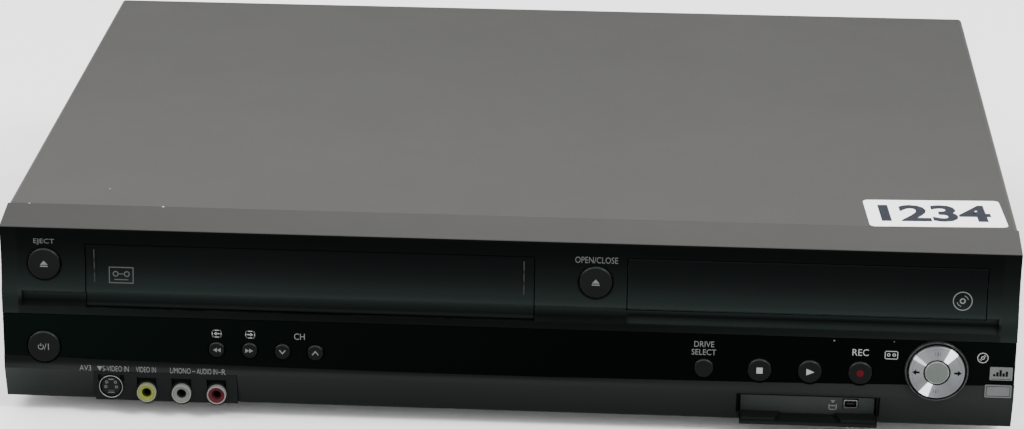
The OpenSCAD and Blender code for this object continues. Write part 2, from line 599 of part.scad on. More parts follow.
module scart_sockets() color("#16181a") for (p = scart_at) translate([p[0], body_d - 2.3, p[1]]) {
    difference() {
        union() {
            box([-27.5, -14, -9], [27.5, 0.5, 9]);
            translate([0, 4.5, 0]) rotate([90, 0, 0]) linear_extrude(5) polygon([[-25, -7.4], [25, -7.4], [25, 3.2], [21, 7.4], [-25, 7.4]]);
        }
        // trench between the shell and the contact block
        translate([0, 6, 0]) rotate([90, 0, 0]) linear_extrude(14) difference() {
            polygon([[-23.8, -6.2], [23.8, -6.2], [23.8, 2.7], [20.5, 6.2], [-23.8, 6.2]]);
            polygon([[-21.6, -4.2], [21.6, -4.2], [21.6, 2.0], [19.4, 4.2], [-21.6, 4.2]]);
        }
        // contact slots
        for (i = [0:9]) for (r = [-1, 1]) translate([-18.5 + 4 * i + (r > 0 ? 0 : -1), 0, r * 2.0])
            box([-0.45, -9, -1.3], [0.45, 6, 1.3]);
    }
}

module rear_jacks() color("#202020") {
    // one small block with its jack for each phono socket
    for (p = jack_at) difference() {
        union() {
            box([p[0] - 7.2, body_d - 22, p[1] - 8.4], [p[0] + 7.2, body_d - 1.6, p[1] + 8.4]);
            ycyl(p[0], p[1], phono_r, body_d - 4, body_d + 1.9);
        }
        ycyl(p[0], p[1], phono_hole_r, body_d - 12, body_d + 4);
    }
    // aerial block with its two coaxial sockets
    box([-124, body_d - 40, 24], [-96, body_d - 3.5, 68]);
    for (p = aerial_at) difference() {
        ycyl(p[0], p[1], 5.9, body_d - 3.6, body_d + 2.0);
        ycyl(p[0], p[1], 4.7, body_d - 9, body_d + 4);
    }
    for (p = aerial_at) ycyl(p[0], p[1], 1.4, body_d - 9.1, body_d + 0.5);
}

module fan_housing() color("#181818") translate([fan_at[0], body_d - 3.4, fan_at[1]]) {
    difference() {
        box([-20, -10.4, -20], [20, -0.4, 20]);
        ycyl(0, 0, 18.8, -12, 1);
        for (x = [-16, 16]) for (z = [-16, 16]) ycyl(x, z, 2.1, -12, 1);
    }
    // motor seat on three struts at the inner side
    ycyl(0, 0, 8, -10.4, -8.6);
    for (a = [0, 120, 240]) rotate([0, a, 0]) box([-1.2, -10.4, 7], [1.2, -8.9, 19.2]);
    ycyl(0, 0, 1.0, -8.7, -2.0);
}

module fan_rotor() color("#2a2a2a") translate([fan_at[0], body_d - 3.4, fan_at[1]]) {
    difference() {
        ycyl(0, 0, 9.5, -8.2, -1.2);
        ycyl(0, 0, 1.06, -10, -1.9);
    }
    intersection() {
        for (i = [0:6]) rotate([0, i * 360 / 7, 0]) translate([0, -4.7, 0]) rotate([0, 0, 38]) box([-4.2, -0.5, 9.2], [4.2, 0.5, 17.9]);
        ycyl(0, 0, 17.9, -8.2, -1.2);
    }
}

// ---------- tape deck ----------
deck_x = -83.1;                       // middle of the cassette opening
deck_z = 20;
reel_y = 104;
drum_at = [-83, 186];
capstan_at = [-22, 164];
arm_at = [-4, 192];
roller_at = [-10.1, 165.4];

module deck_frame() color("#9fa2a4") {
    difference() {
        union() {
            box([deck_x - 105, 38, deck_z], [deck_x + 107, 234, deck_z + 1.6]);
            for (x = [deck_x - 101.6, deck_x + 100.0]) box([x, 38, deck_z + 1.5], [x + 1.6, 160, 84]);
            // stiffening ribs
            box([deck_x - 105, 232.4, deck_z + 1.5], [deck_x + 107, 234, 30]);
        }
        // windows that clear the carriage's pins
        for (x = [deck_x - 106, deck_x + 96]) box([x, 52, 34], [x + 10, 132, 76]);
        for (x = [deck_x - 46, deck_x + 46]) zcyl(x, reel_y, 2.06, 15, 25);
        zcyl(capstan_at[0], capstan_at[1], 2.06, 15, 25);
        zcyl(drum_at[0], drum_at[1], 20, 15, 25);
        // cable and tool windows
        box([-150, 50, 15], [-16, 76, 25]);
        for (x = [-172, -40]) box([x, 204, 15], [x + 40, 224, 25]);
    }
    // pivot posts
    zcyl(arm_at[0], arm_at[1], 2.5, deck_z + 1.5, 24.5);
    zcyl(arm_at[0], arm_at[1], 1.5, 24.4, 52);
    // tape guide posts with flanges
    for (p = [[-150, 166], [-128, 178], [-38, 178], [-158, 190]]) {
        zcyl(p[0], p[1], 1.6, deck_z + 1.5, 58);
        zcyl(p[0], p[1], 3.4, 24, 26);
        zcyl(p[0], p[1], 3.4, 50, 52);
        zcyl(p[0], p[1], 2.4, 27, 49);
    }
    // audio and control head, and erase head
    chip(-40, 158, deck_z + 1.5, 12, 9, 30);
    chip(-138, 156, deck_z + 1.5, 9, 8, 30);
}

module carriage_slider() color("#45484a") for (s = [-1, 1]) translate([deck_x, 0, 0]) difference() {
    translate([s * 97.7, 0, 0]) box([-0.7, 60, 30], [0.7, 92, 80]);
    // upright guide slots for the basket's pins
    for (y = [66, 86]) translate([s * 97.7, 0, 0]) box([-3, y - 1.8, 40], [3, y + 1.8, 71.8]);
}

module slider_lugs() color("#45484a") for (s = [-1, 1]) translate([deck_x + s * 100.2, 0, 0]) box([-2.0, 62, 34.1], [2.0, 90, 36.0]);

module cassette_basket() color("#8d9194") translate([deck_x, 0, 0]) {
    difference() {
        box([-96.2, 34, 49.6], [96.2, 104, 79.4]);
        box([-94.5, 20, 50.6], [94.5, 120, 78.4]);
        // open floor between the side rails, and a window in the roof
        box([-82, 20, 45], [82, 120, 60]);
        box([-70, 52, 70], [70, 90, 90]);
        box([-20, 96, 70], [20, 120, 90]);
    }
    for (s = [-1, 1]) for (y = [66, 86]) xcyl(y, 70, 1.5, s * 98.35 - 2.25, s * 98.35 + 2.25);
}

module lower_drum() color("silver") translate([drum_at[0], drum_at[1], 0]) difference() {
    union() {
        translate([0, 0, 24]) cylinder(h = 19.6, r = drum_r);
        translate([0, 0, 12.4]) cylinder(h = 11.7, r = 17);
        // three legs on the deck
        for (a = [90, 210, 330]) rotate(a) box([14, -3, 21.65], [30, 3, 24.1]);
    }
    translate([0, 0, 10]) cylinder(h = 40, r = 3.06);
}

module upper_drum() color("silver") translate([drum_at[0], drum_at[1], 0]) {
    difference() {
        translate([0, 0, 44.0]) cylinder(h = 15, r = drum_r - 0.02);
        translate([0, 0, 56]) cylinder(h = 4, r = 22);
        for (a = [0:60:300]) rotate(a) translate([15, 0, 40]) cylinder(h = 30, r = 2.6);
        // head windows in the edge
        for (a = [0:90:270]) rotate(a + 20) box([drum_r - 1.2, -2, 43.9], [drum_r + 1, 2, 46]);
    }
    translate([0, 0, 13]) cylinder(h = 45, r = 3.0);
    translate([0, 0, 55.9]) cylinder(h = 5, r = 8);
}

module capstan() color("gainsboro") translate([capstan_at[0], capstan_at[1], 0]) {
    translate([0, 0, 11]) cylinder(h = 49, r = 2.0);
    difference() {
        translate([0, 0, 12]) cylinder(h = 6.6, r = 26);
        translate([0, 0, 14.6]) difference() {
            cylinder(h = 5, r = 23);
            cylinder(h = 5, r = 9);
        }
    }
}

arm_len = norm([roller_at[0] - arm_at[0], roller_at[1] - arm_at[1]]);
arm_dir = atan2(roller_at[1] - arm_at[1], roller_at[0] - arm_at[0]);

module pinch_arm() color("#b9bbbd") translate([arm_at[0], arm_at[1], 0]) rotate(arm_dir) {
    difference() {
        union() {
            for (z = [26, 48]) {
                box([0, -3.5, z], [arm_len, 3.5, z + 1.6]);
                translate([0, 0, z]) cylinder(h = 1.6, r = 5);
                translate([arm_len, 0, z]) cylinder(h = 1.6, r = 3.5);
            }
            translate([0, 0, 26]) cylinder(h = 23.6, r = 3.4);
        }
        translate([0, 0, 20]) cylinder(h = 40, r = 1.56);
    }
    translate([arm_len, 0, 27]) cylinder(h = 21.5, r = 1.2);
}

module pinch_roller() color("#2b2b2b") translate([roller_at[0], roller_at[1], 0]) difference() {
    translate([0, 0, 29]) cylinder(h = 17.6, r = 6);
    translate([0, 0, 25]) cylinder(h = 30, r = 1.26);
}

module reel(x) translate([x, reel_y, 0]) {
    translate([0, 0, 12]) cylinder(h = 14, r = 2.0);
    difference() {
        translate([0, 0, 21.9]) cylinder(h = 3.0, r = 19);
        for (i = [0:35]) rotate(i * 10) translate([19.3, -0.5, 21]) cube([2, 1, 5]);
    }
    translate([0, 0, 24.8]) cylinder(h = 2.2, r = 13);
    translate([0, 0, 26.9]) cylinder(h = 10, r = 3.6);
    for (a = [0, 120, 240]) rotate(a) box([3, -0.9, 26.9], [5.6, 0.9, 35]);
}
module supply_reel() color("ivory") reel(deck_x - 46);
module takeup_reel() color("ivory") reel(deck_x + 46);

place() top_cover();
place() cover_screws();
place() chassis_base();
place() rear_panel();
place() feet();
place() foot_pads();
place() front_fascia();
place() lower_fascia();
place() display_window();
place() cassette_door();
place() tray_front();
place() disc_tray();
place() input_flap();
place() dv_socket();
place() eject_button();
place() open_close_button();
place() power_button();
place() rewind_button();
place() forward_button();
place() channel_down_button();
place() channel_up_button();
place() drive_select_button();
place() stop_button();
place() play_button();
place() record_button();
place() dial_bezel();
place() dial_ring();
place() dial_cap();
place() input_panel();
place() svideo_socket();
place() video_jack();
place() audio_jack_left();
place() audio_jack_right();
place() silver_plates();
place() top_label();
place() button_board();
place() display_tube();
place() main_board();
place() power_board();
place() mains_inlet();
place() scart_sockets();
place() rear_jacks();
place() fan_housing();
place() fan_rotor();
place() deck_frame();
place() { carriage_slider(); slider_lugs(); }
place() cassette_basket();
place() lower_drum();
place() upper_drum();
place() capstan();
place() pinch_arm();
place() pinch_roller();
place() supply_reel();
place() takeup_reel();
place() drive_frame();
place() traverse();
place() turntable();
place() pickup_sled();
place() tray_gear();
place() disc_clamp();
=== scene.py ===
import json
import math

import bmesh
import bpy
from mathutils import Matrix, Vector


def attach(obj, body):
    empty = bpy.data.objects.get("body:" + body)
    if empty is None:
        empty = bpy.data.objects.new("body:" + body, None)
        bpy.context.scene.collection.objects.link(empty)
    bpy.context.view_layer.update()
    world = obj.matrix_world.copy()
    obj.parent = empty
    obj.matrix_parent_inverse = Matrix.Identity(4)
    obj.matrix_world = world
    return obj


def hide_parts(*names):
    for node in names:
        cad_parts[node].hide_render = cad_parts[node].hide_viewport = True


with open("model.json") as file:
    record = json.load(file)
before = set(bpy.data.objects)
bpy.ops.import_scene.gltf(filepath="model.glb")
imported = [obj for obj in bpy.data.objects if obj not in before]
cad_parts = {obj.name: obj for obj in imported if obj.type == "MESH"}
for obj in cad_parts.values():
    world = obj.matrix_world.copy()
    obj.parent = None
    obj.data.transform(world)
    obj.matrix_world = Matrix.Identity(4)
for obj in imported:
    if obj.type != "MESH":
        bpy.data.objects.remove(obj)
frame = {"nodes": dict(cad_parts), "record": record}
REC = frame["record"]
BODY = {n: b for b, ns in REC["behaviour"]["bodies"].items() for n in ns}
SLOT = {s["node"]: s["material_slot"] for s in REC["subparts"]}
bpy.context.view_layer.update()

MID = 166.5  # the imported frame's y = 0, measured back from the fascia in mm


def V(x, y, z):
    """A point given in mm from the fascia's front and the table, in the row frame."""
    return Vector((x / 1000, (y - MID) / 1000, z / 1000))


# ---------------------------------------------------------------- materials


class NT:
    """Small helper that builds one node material."""

    def __init__(self, name):
        self.m = bpy.data.materials.new(name)
        self.m.use_nodes = True
        self.t = self.m.node_tree
        self.t.nodes.clear()
        self.out = self.t.nodes.new("ShaderNodeOutputMaterial")
        self.b = self.t.nodes.new("ShaderNodeBsdfPrincipled")
        self.t.links.new(self.b.outputs[0], self.out.inputs[0])
        self.tc = self.t.nodes.new("ShaderNodeTexCoord")

    def link(self, a, b):
        self.t.links.new(a, b)

    def mapping(self, scale):
        n = self.t.nodes.new("ShaderNodeMapping")
        n.inputs["Scale"].default_value = scale
        self.link(self.tc.outputs["Object"], n.inputs["Vector"])
        return n.outputs[0]

    def noise(self, scale, detail=3.0, rough=0.5, stretch=None, vec=None):
        n = self.t.nodes.new("ShaderNodeTexNoise")
        n.inputs["Scale"].default_value = scale
        n.inputs["Detail"].default_value = detail
        n.inputs["Roughness"].default_value = rough
        if stretch:
            self.link(self.mapping(stretch), n.inputs["Vector"])
        else:
            self.link(vec or self.tc.outputs["Object"], n.inputs["Vector"])
        return n.outputs["Fac"]

    def voronoi(self, scale, feature="F1"):
        n = self.t.nodes.new("ShaderNodeTexVoronoi")
        n.feature = feature
        n.inputs["Scale"].default_value = scale
        self.link(self.tc.outputs["Object"], n.inputs["Vector"])
        return n.outputs["Distance"]

    def math(self, op, a, b=0.5, clamp=False):
        n = self.t.nodes.new("ShaderNodeMath")
        n.operation = op
        n.use_clamp = clamp
        for i, v in enumerate((a, b)):
            if isinstance(v, (int, float)):
                n.inputs[i].default_value = v
            else:
                self.link(v, n.inputs[i])
        return n.outputs[0]

    def remap(self, v, a, b, c, d):
        n = self.t.nodes.new("ShaderNodeMapRange")
        n.clamp = True
        for k, x in (("From Min", a), ("From Max", b), ("To Min", c), ("To Max", d)):
            n.inputs[k].default_value = x
        self.link(v, n.inputs["Value"])
        return n.outputs["Result"]

    def mix(self, fac, a, b):
        n = self.t.nodes.new("ShaderNodeMix")
        n.data_type = "RGBA"
        for key, v in (("Factor_Float", fac), ("A_Color", a), ("B_Color", b)):
            s = next(i for i in n.inputs if i.identifier == key)
            if isinstance(v, (int, float)):
                s.default_value = v
            elif isinstance(v, (tuple, list)):
                s.default_value = (*v[:3], 1)
            else:
                self.link(v, s)
        return next(o for o in n.outputs if o.identifier == "Result_Color")

    def axis(self, i):
        """Object coordinate i in mm: x from the middle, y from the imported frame's zero, z from the table."""
        if not hasattr(self, "sep"):
            self.sep = self.t.nodes.new("ShaderNodeSeparateXYZ")
            self.link(self.tc.outputs["Object"], self.sep.inputs[0])
        return self.math("MULTIPLY", self.sep.outputs[i], 1000)

    def ramp(self, v, stops):
        """Piecewise-linear curve through (position, value) stops; values stay between 0 and 1."""
        lo, hi = stops[0][0], stops[-1][0]
        n = self.t.nodes.new("ShaderNodeValToRGB")
        el = n.color_ramp.elements
        while len(el) > 2:
            el.remove(el[-1])
        for i, (p, x) in enumerate(stops):
            e = el[i] if i < 2 else el.new((p - lo) / (hi - lo))
            e.position = (p - lo) / (hi - lo)
            e.color = (x, x, x, 1)
        self.link(self.remap(v, lo, hi, 0, 1), n.inputs[0])
        return n.outputs[0]

    def times(self, col, f):
        n = self.t.nodes.new("ShaderNodeVectorMath")
        n.operation = "SCALE"
        self.link(col, n.inputs[0])
        if isinstance(f, (int, float)):
            n.inputs["Scale"].default_value = f
        else:
            self.link(f, n.inputs["Scale"])
        return n.outputs[0]

    def bump(self, height, strength, dist, prev=None):
        n = self.t.nodes.new("ShaderNodeBump")
        n.inputs["Strength"].default_value = strength
        n.inputs["Distance"].default_value = dist
        self.link(height, n.inputs["Height"])
        if prev:
            self.link(prev, n.inputs["Normal"])
        return n.outputs[0]

    def attr(self, name):
        n = self.t.nodes.new("ShaderNodeAttribute")
        n.attribute_name = name
        return n.outputs["Fac"]

    def set(self, **k):
        names = {
            "metal": "Metallic",
            "rough": "Roughness",
            "spec": "Specular IOR Level",
            "coat": "Coat Weight",
            "coat_rough": "Coat Roughness",
            "aniso": "Anisotropic",
            "trans": "Transmission Weight",
            "ior": "IOR",
            "sheen": "Sheen Weight",
            "alpha": "Alpha",
            "sub": "Subsurface Weight",
        }
        for a, v in k.items():
            self.b.inputs[names[a]].default_value = v
        return self


def scaled(c, k):
    return tuple(min(1.0, x * k) for x in c[:3])


def surface(
    name,
    base,
    rough=0.45,
    spec=0.5,
    var=0.12,
    var_scale=14,
    grain=1500,
    grain_bump=0.1,
    grain_dist=0.00003,
    edge=None,
    edge_amt=0.6,
    rough_var=0.08,
    scratch=0.0,
    dust=0.0,
    metal=0.0,
    coat=0.0,
    coat_rough=0.1,
    aniso=0.0,
    stretch=None,
    speck=0.0,
    tone=None,
):
    """A moulded, painted or metal surface: slow tone drift, fine grain, uneven gloss, rubbed edges, hairlines and dust;
    a tone curve, when given, paints light and shade into the colour.
    """
    n = NT(name)
    n.set(metal=metal, spec=spec, coat=coat, coat_rough=coat_rough, aniso=aniso)
    drift = n.noise(var_scale, 4, 0.55)
    fine = n.noise(grain, 2, 0.6, stretch=None)
    col = n.mix(n.remap(drift, 0.3, 0.7, 0, 1), scaled(base, 1 - var), scaled(base, 1 + var))
    col = n.mix(n.remap(fine, 0.35, 0.65, 0, 0.5), col, scaled(base, 1 - var * 0.9))
    # painted light and shade: the tone curve multiplies the colour by position or facing
    if tone:
        col = n.times(col, tone(n))
    if speck:
        sp = n.remap(n.noise(grain * 0.6, 1, 0.4), 0.66, 0.74, 0, speck)
        col = n.mix(sp, col, scaled(base, 2.2))
    if edge:
        wear = n.math("MULTIPLY", n.attr("edge"), n.remap(n.noise(190, 5, 0.7), 0.42, 0.62, 0.15, edge_amt), True)
        col = n.mix(wear, col, edge)
    if scratch:
        s1 = n.remap(n.noise(60, 6, 0.75, stretch=(1.0, 9.0, 9.0)), 0.63, 0.70, 0, scratch)
        col = n.mix(s1, col, scaled(base, 1.9))
    if dust:
        geo = n.t.nodes.new("ShaderNodeNewGeometry")
        sep = n.t.nodes.new("ShaderNodeSeparateXYZ")
        n.link(geo.outputs["Normal"], sep.inputs[0])
        up = n.remap(sep.outputs[2], 0.5, 1.0, 0, 1)
        d = n.math("MULTIPLY", up, n.remap(n.noise(38, 8, 0.8), 0.45, 0.75, 0, dust), True)
        col = n.mix(d, col, (0.16, 0.157, 0.15))
    n.link(col, n.b.inputs["Base Color"])
    r = n.remap(n.noise(var_scale * 2.6, 5, 0.65), 0.3, 0.7, rough - rough_var, rough + rough_var)
    if edge:
        r = n.math("SUBTRACT", r, n.math("MULTIPLY", n.attr("edge"), 0.06), True)
    n.link(r, n.b.inputs["Roughness"])
    if stretch:
        h = n.noise(grain, 3, 0.6, stretch=stretch)
    else:
        h = n.noise(grain, 3, 0.6)
    nb = n.bump(h, grain_bump, grain_dist)
    n.link(nb, n.b.inputs["Normal"])
    return n.m


M = {}
EDGE_GREY = (0.03, 0.032, 0.031)


def fascia_painted_shading(n):
    """Painted light and shade on the curved front face: darkest under the lip, lighter towards the ridge over the grip
    groove, fading into the groove, with its own painted curve at each end.
    """
    z, x = n.axis(2), n.axis(0)
    top = [(57.2, 1.0), (57.6, 1.0), (58.2, 0.9), (59.2, 0.78), (60, 0.7), (61.8, 0.62), (65, 0.47), (69, 0.31), (76, 0.15), (82, 0.09), (86, 0.08)]
    foot = [(46, 0.52), (47.5, 0.52), (49, 0.46), (50.2, 0.44)]
    left = n.ramp(z, foot + [(50.5, 0.24), (51.5, 0.18), (52.5, 0.15), (53.5, 0.32), (54.5, 0.5), (55.5, 0.85), (56.4, 1.0)] + top)
    right = n.ramp(z, foot + [(50.5, 0.64), (51.5, 0.6), (52.5, 0.36), (53.5, 0.11), (54.5, 0.42), (55.5, 0.9), (56.4, 1.0)] + top)
    side = n.remap(x, 51, 53, 0, 1)
    f = n.math("ADD", n.math("MULTIPLY", right, side), n.math("MULTIPLY", left, n.math("SUBTRACT", 1.0, side)))
    low = n.remap(z, 50.2, 50.6, 1, 0)
    mid = n.ramp(x, [(-215, 1.0), (-190, 0.95), (-150, 0.55), (-60, 0.34), (0, 0.34), (55, 0.36), (90, 0.5), (130, 0.62), (175, 0.85), (215, 1.0)])
    k = n.math("ADD", n.math("MULTIPLY", n.math("SUBTRACT", mid, 1.0), low), 1.0)
    end = n.math("MAXIMUM", n.remap(x, 207.4, 208.4, 0, 1), n.remap(x, -208.4, -207.4, 1, 0))
    flat = n.ramp(z, [(46, 0.92), (51, 0.62), (54, 0.66), (57, 0.85), (62, 0.62), (69, 0.36), (76, 0.2), (86, 0.11)])
    f = n.math("MULTIPLY", f, k)
    return n.math("ADD", n.math("MULTIPLY", f, n.math("SUBTRACT", 1.0, end)), n.math("MULTIPLY", flat, end))


def door_painted_shading(n):
    # painted shading down the door's curved face: brightest at the ridge near 57 mm, darker above it and in the groove
    # below
    return n.ramp(n.axis(2), [(50, 0.6), (51.2, 0.5), (51.8, 0.42), (52.5, 0.22), (53.5, 0.32), (54.5, 0.48), (55.5, 0.8), (56.5, 1.0), (57.6, 1.0), (58.2, 0.88),
                              (59.2, 0.74), (60.2, 0.66), (61.6, 0.62), (64.5, 0.47), (69, 0.27), (74, 0.18), (78.2, 0.15), (80, 0.3)])


def lower_painted_shading(n):
    """Painted light and shade on the flat band under the window and the sloping foot edge: it fades downwards, with a
    painted highlight at its left end, painted light on the back wall of the flap's recess and painted shade towards the
    top of the band.
    """
    z = n.axis(2)
    f = n.ramp(z, [(7, 0.6), (12, 0.72), (17, 0.85), (20.8, 0.97), (21.4, 1.0), (24, 1.0), (27, 0.95), (47, 0.6)])
    foot = n.remap(z, 21.25, 21.75, 1, 0)
    left = n.ramp(n.axis(0), [(-215, 1.0), (-211, 0.8), (-206, 0.5), (-198, 0.25), (-186, 0.1), (-150, 0.03), (-60, 0.0), (150, 0.0), (215, 0.08)])
    g = n.math("ADD", n.math("MULTIPLY", n.math("MULTIPLY", left, 1.5), foot), 1.0)
    band = n.ramp(n.axis(0), [(-215, 0.5), (-190, 0.62), (-170, 0.56), (0, 0.5), (120, 0.5), (170, 0.58), (215, 0.62)])
    # painted light: the back wall of the recess behind the flap, more than 6.8 mm behind the front, is made lighter
    within = n.math("MULTIPLY", n.remap(n.axis(0), 99.2, 99.8, 0, 1), n.remap(n.axis(0), 158.6, 159.2, 1, 0))
    recess_painted_light = n.math("MULTIPLY", n.math("MULTIPLY", n.remap(n.axis(1), -159.7, -159.4, 0, 1), within), 4.2)
    # painted shade: darker towards the top of the band from about 23 mm, left of x 130 mm
    brim_painted_shade = n.ramp(z, [(21.8, 1.0), (22.9, 1.0), (24.2, 0.5), (25.5, 0.3)])
    brim_painted_shade = n.math("ADD", n.math("MULTIPLY", n.math("SUBTRACT", brim_painted_shade, 1.0), n.remap(n.axis(0), 20, 130, 1, 0)), 1.0)
    return n.math("MULTIPLY", n.math("MULTIPLY", n.math("MULTIPLY", f, n.math("ADD", g, recess_painted_light)), band), brim_painted_shade)


def key_painted_light(n):
    # painted light on the keys: faces turned upwards lighter, as a painted highlight on the upper rim; faces turned
    # down and the lower part of each key darker, as painted shade
    geo = n.t.nodes.new("ShaderNodeNewGeometry")
    sep = n.t.nodes.new("ShaderNodeSeparateXYZ")
    n.link(geo.outputs["Normal"], sep.inputs[0])
    f = n.ramp(sep.outputs[2], [(-1, 0.006), (-0.3, 0.014), (-0.14, 0.037), (0.1, 0.056), (0.3, 0.14), (0.5, 0.75), (0.75, 1.0), (1.0, 0.7)])
    rise = n.ramp(n.attr("rise"), [(-1, 0.36), (-0.5, 0.55), (0.1, 0.86), (0.6, 1.0), (1.0, 1.0)])
    return n.math("MULTIPLY", n.math("MULTIPLY", f, rise), 20.0)


def window_painted_reflection(n):
    # painted reflection across the glossy window: lightest at the left end, darkest a little right of the middle
    return n.ramp(n.axis(0), [(-215, 1.0), (-175, 0.8), (-90, 0.5), (0, 0.3), (60, 0.18), (150, 0.2), (215, 0.6)])


def lip_painted_shading(n):
    # painted shading along the top lip: slightly darker towards the left end
    return n.ramp(n.axis(0), [(-215, 0.8), (-120, 0.89), (0, 0.96), (130, 0.97), (180, 0.99), (215, 1.0)])


def cover_painted_shading(n):
    # painted shading on the cover: darker towards the right and much darker towards the back
    x = n.ramp(n.axis(0), [(-215, 0.97), (-120, 0.945), (0, 0.865), (130, 0.86), (215, 0.8)])
    y = n.ramp(n.axis(1), [(-150, 0.98), (-60, 0.89), (60, 0.68), (180, 0.52)])
    return n.math("MULTIPLY", x, y)


# satin dark paint on the folded steel cover: light picked up at a low angle gives its grey, and a painted gradient of
# light and shade lies over it
M["cover_paint"] = surface("cover_paint", (0.0374, 0.0367, 0.0340), rough=0.46, spec=0.05, var=0.015, var_scale=5, grain=2400,
                           grain_bump=0.2, grain_dist=0.00004, edge=(0.06, 0.059, 0.055), edge_amt=0.35, rough_var=0.01, dust=0.02, speck=0.2, tone=cover_painted_shading)
# a lighter copy of the fascia plastic for its sloping top lip: painted light, giving it the grey of the cover
M["lip_painted_light"] = surface("lip_painted_light", (0.0257, 0.0252, 0.0237), rough=0.46, spec=0.1, var=0.015, var_scale=6, grain=2400, grain_bump=0.18,
                         grain_dist=0.00003, edge=(0.05, 0.049, 0.046), edge_amt=0.3, rough_var=0.01, dust=0.02, speck=0.1, tone=lip_painted_shading)
M["screw_black"] = surface("screw_black", (0.012, 0.012, 0.0126), rough=0.35, spec=0.2, grain=1800, grain_bump=0.15, edge=(0.18, 0.18, 0.18), edge_amt=0.55, metal=0.5)
M["sheet_steel"] = surface("sheet_steel", (0.345, 0.352, 0.352), rough=0.34, metal=1.0, var=0.14, var_scale=60, grain=700, grain_bump=0.1,
                           edge=(0.525, 0.525, 0.525), edge_amt=0.5, rough_var=0.1, stretch=(0.08, 1, 1))
M["rear_paint"] = surface("rear_paint", (0.015, 0.015, 0.0155), rough=0.5, spec=0.3, var=0.1, var_scale=9, grain=1700, grain_bump=0.3,
                          grain_dist=0.00005, edge=(0.05999, 0.05999, 0.05999), edge_amt=0.5, dust=0.1)
M["foot_plastic"] = surface("foot_plastic", (0.0084, 0.0084, 0.0084), rough=0.55, spec=0.2, grain=1300, grain_bump=0.3, grain_dist=0.00006, edge=EDGE_GREY)
M["foot_rubber"] = surface("foot_rubber", (0.01269, 0.01212, 0.01154), rough=0.85, spec=0.25, grain=900, grain_bump=0.5, grain_dist=0.00012, var=0.2, edge=(0.03462, 0.03347, 0.03172))
# the front plastics and the keys carry painted light and shade through their tone curves
M["fascia_plastic"] = surface("fascia_plastic", (0.00827, 0.01154, 0.01058), rough=0.34, spec=0.012, var=0.07, var_scale=7, grain=2200, grain_bump=0.14,
                              grain_dist=0.00003, edge=(0.01154, 0.01423, 0.01308), edge_amt=0.35, rough_var=0.04, dust=0.03, tone=fascia_painted_shading)
M["lower_plastic"] = surface("lower_plastic", (0.0168, 0.0197, 0.0187), rough=0.42, spec=0.016, var=0.07, var_scale=9, grain=2200, grain_bump=0.16,
                             grain_dist=0.00003, edge=(0.018, 0.0216, 0.02016), edge_amt=0.3, rough_var=0.05, dust=0.03, tone=lower_painted_shading)
M["window_gloss"] = surface("window_gloss", (0.00089, 0.00228, 0.00177), rough=0.08, spec=0.008, var=0.15, var_scale=6, grain=500, grain_bump=0.02,
                            grain_dist=0.00001, edge=(0.00759, 0.00949, 0.00886), edge_amt=0.25, rough_var=0.02, scratch=0.02, tone=window_painted_reflection)
M["door_plastic"] = surface("door_plastic", (0.00827, 0.01154, 0.01077), rough=0.36, spec=0.012, var=0.06, var_scale=10, grain=2100, grain_bump=0.15,
                            grain_dist=0.00003, edge=(0.01077, 0.01385, 0.01269), edge_amt=0.35, rough_var=0.04, dust=0.03, tone=door_painted_shading)
M["tray_plastic"] = surface("tray_plastic", (0.0084, 0.009, 0.00918), rough=0.5, spec=0.15, var=0.1, var_scale=12, grain=1500, grain_bump=0.35,
                            grain_dist=0.00005, edge=(0.027, 0.0282, 0.0276), edge_amt=0.5)
M["flap_plastic"] = surface("flap_plastic", (0.00322, 0.00386, 0.00369), rough=0.42, spec=0.04, var=0.1, var_scale=22, grain=2000, grain_bump=0.2,
                            grain_dist=0.00004, edge=(0.00702, 0.0079, 0.00761), edge_amt=0.5)
M["socket_metal"] = surface("socket_metal", (0.16, 0.164, 0.156), rough=0.36, metal=1.0, var=0.12, var_scale=220, grain=1500, grain_bump=0.08,
                            edge=(0.22, 0.22, 0.212), edge_amt=0.5, rough_var=0.08)
M["key_plastic"] = surface("key_plastic", (0.00084, 0.00110, 0.00108), rough=0.26, spec=0.06, var=0.1, var_scale=60, grain=2300, grain_bump=0.1,
                           grain_dist=0.00003, edge=(0.00173, 0.00201, 0.0019), edge_amt=0.05, rough_var=0.05, tone=key_painted_light)
M["bezel_gloss"] = surface("bezel_gloss", (0.0054, 0.0072, 0.00684), rough=0.14, spec=0.06, var=0.2, var_scale=60, grain=900, grain_bump=0.02,
                           grain_dist=0.00001, edge=(0.054, 0.0594, 0.0576), edge_amt=0.4, rough_var=0.03)
# grey cap; its light edge colour, at full strength, paints a highlight round the rim together with rubbed wear
M["cap_plastic"] = surface("cap_plastic", (0.0600, 0.0696, 0.0632), rough=0.5, spec=0.08, var=0.06, var_scale=300, grain=2400, grain_bump=0.2,
                           grain_dist=0.00003, edge=(0.15, 0.155, 0.145), edge_amt=1.0)
M["panel_plastic"] = surface("panel_plastic", (0.00507, 0.00611, 0.00584), rough=0.45, spec=0.025, var=0.1, var_scale=24, grain=2000, grain_bump=0.2,
                             grain_dist=0.00004, edge=(0.00812, 0.00922, 0.0089), edge_amt=0.3)
M["pocket_plastic"] = surface("pocket_plastic", (0.0042, 0.005, 0.0048), rough=0.5, spec=0.01, var=0.15, var_scale=60, grain=2000, grain_bump=0.2)
M["jack_yellow"] = surface("jack_yellow", (0.112, 0.124, 0.021), rough=0.5, spec=0.06, var=0.1, var_scale=300, grain=1800, grain_bump=0.15, edge=(0.05, 0.05462, 0.01154), edge_amt=0.4)
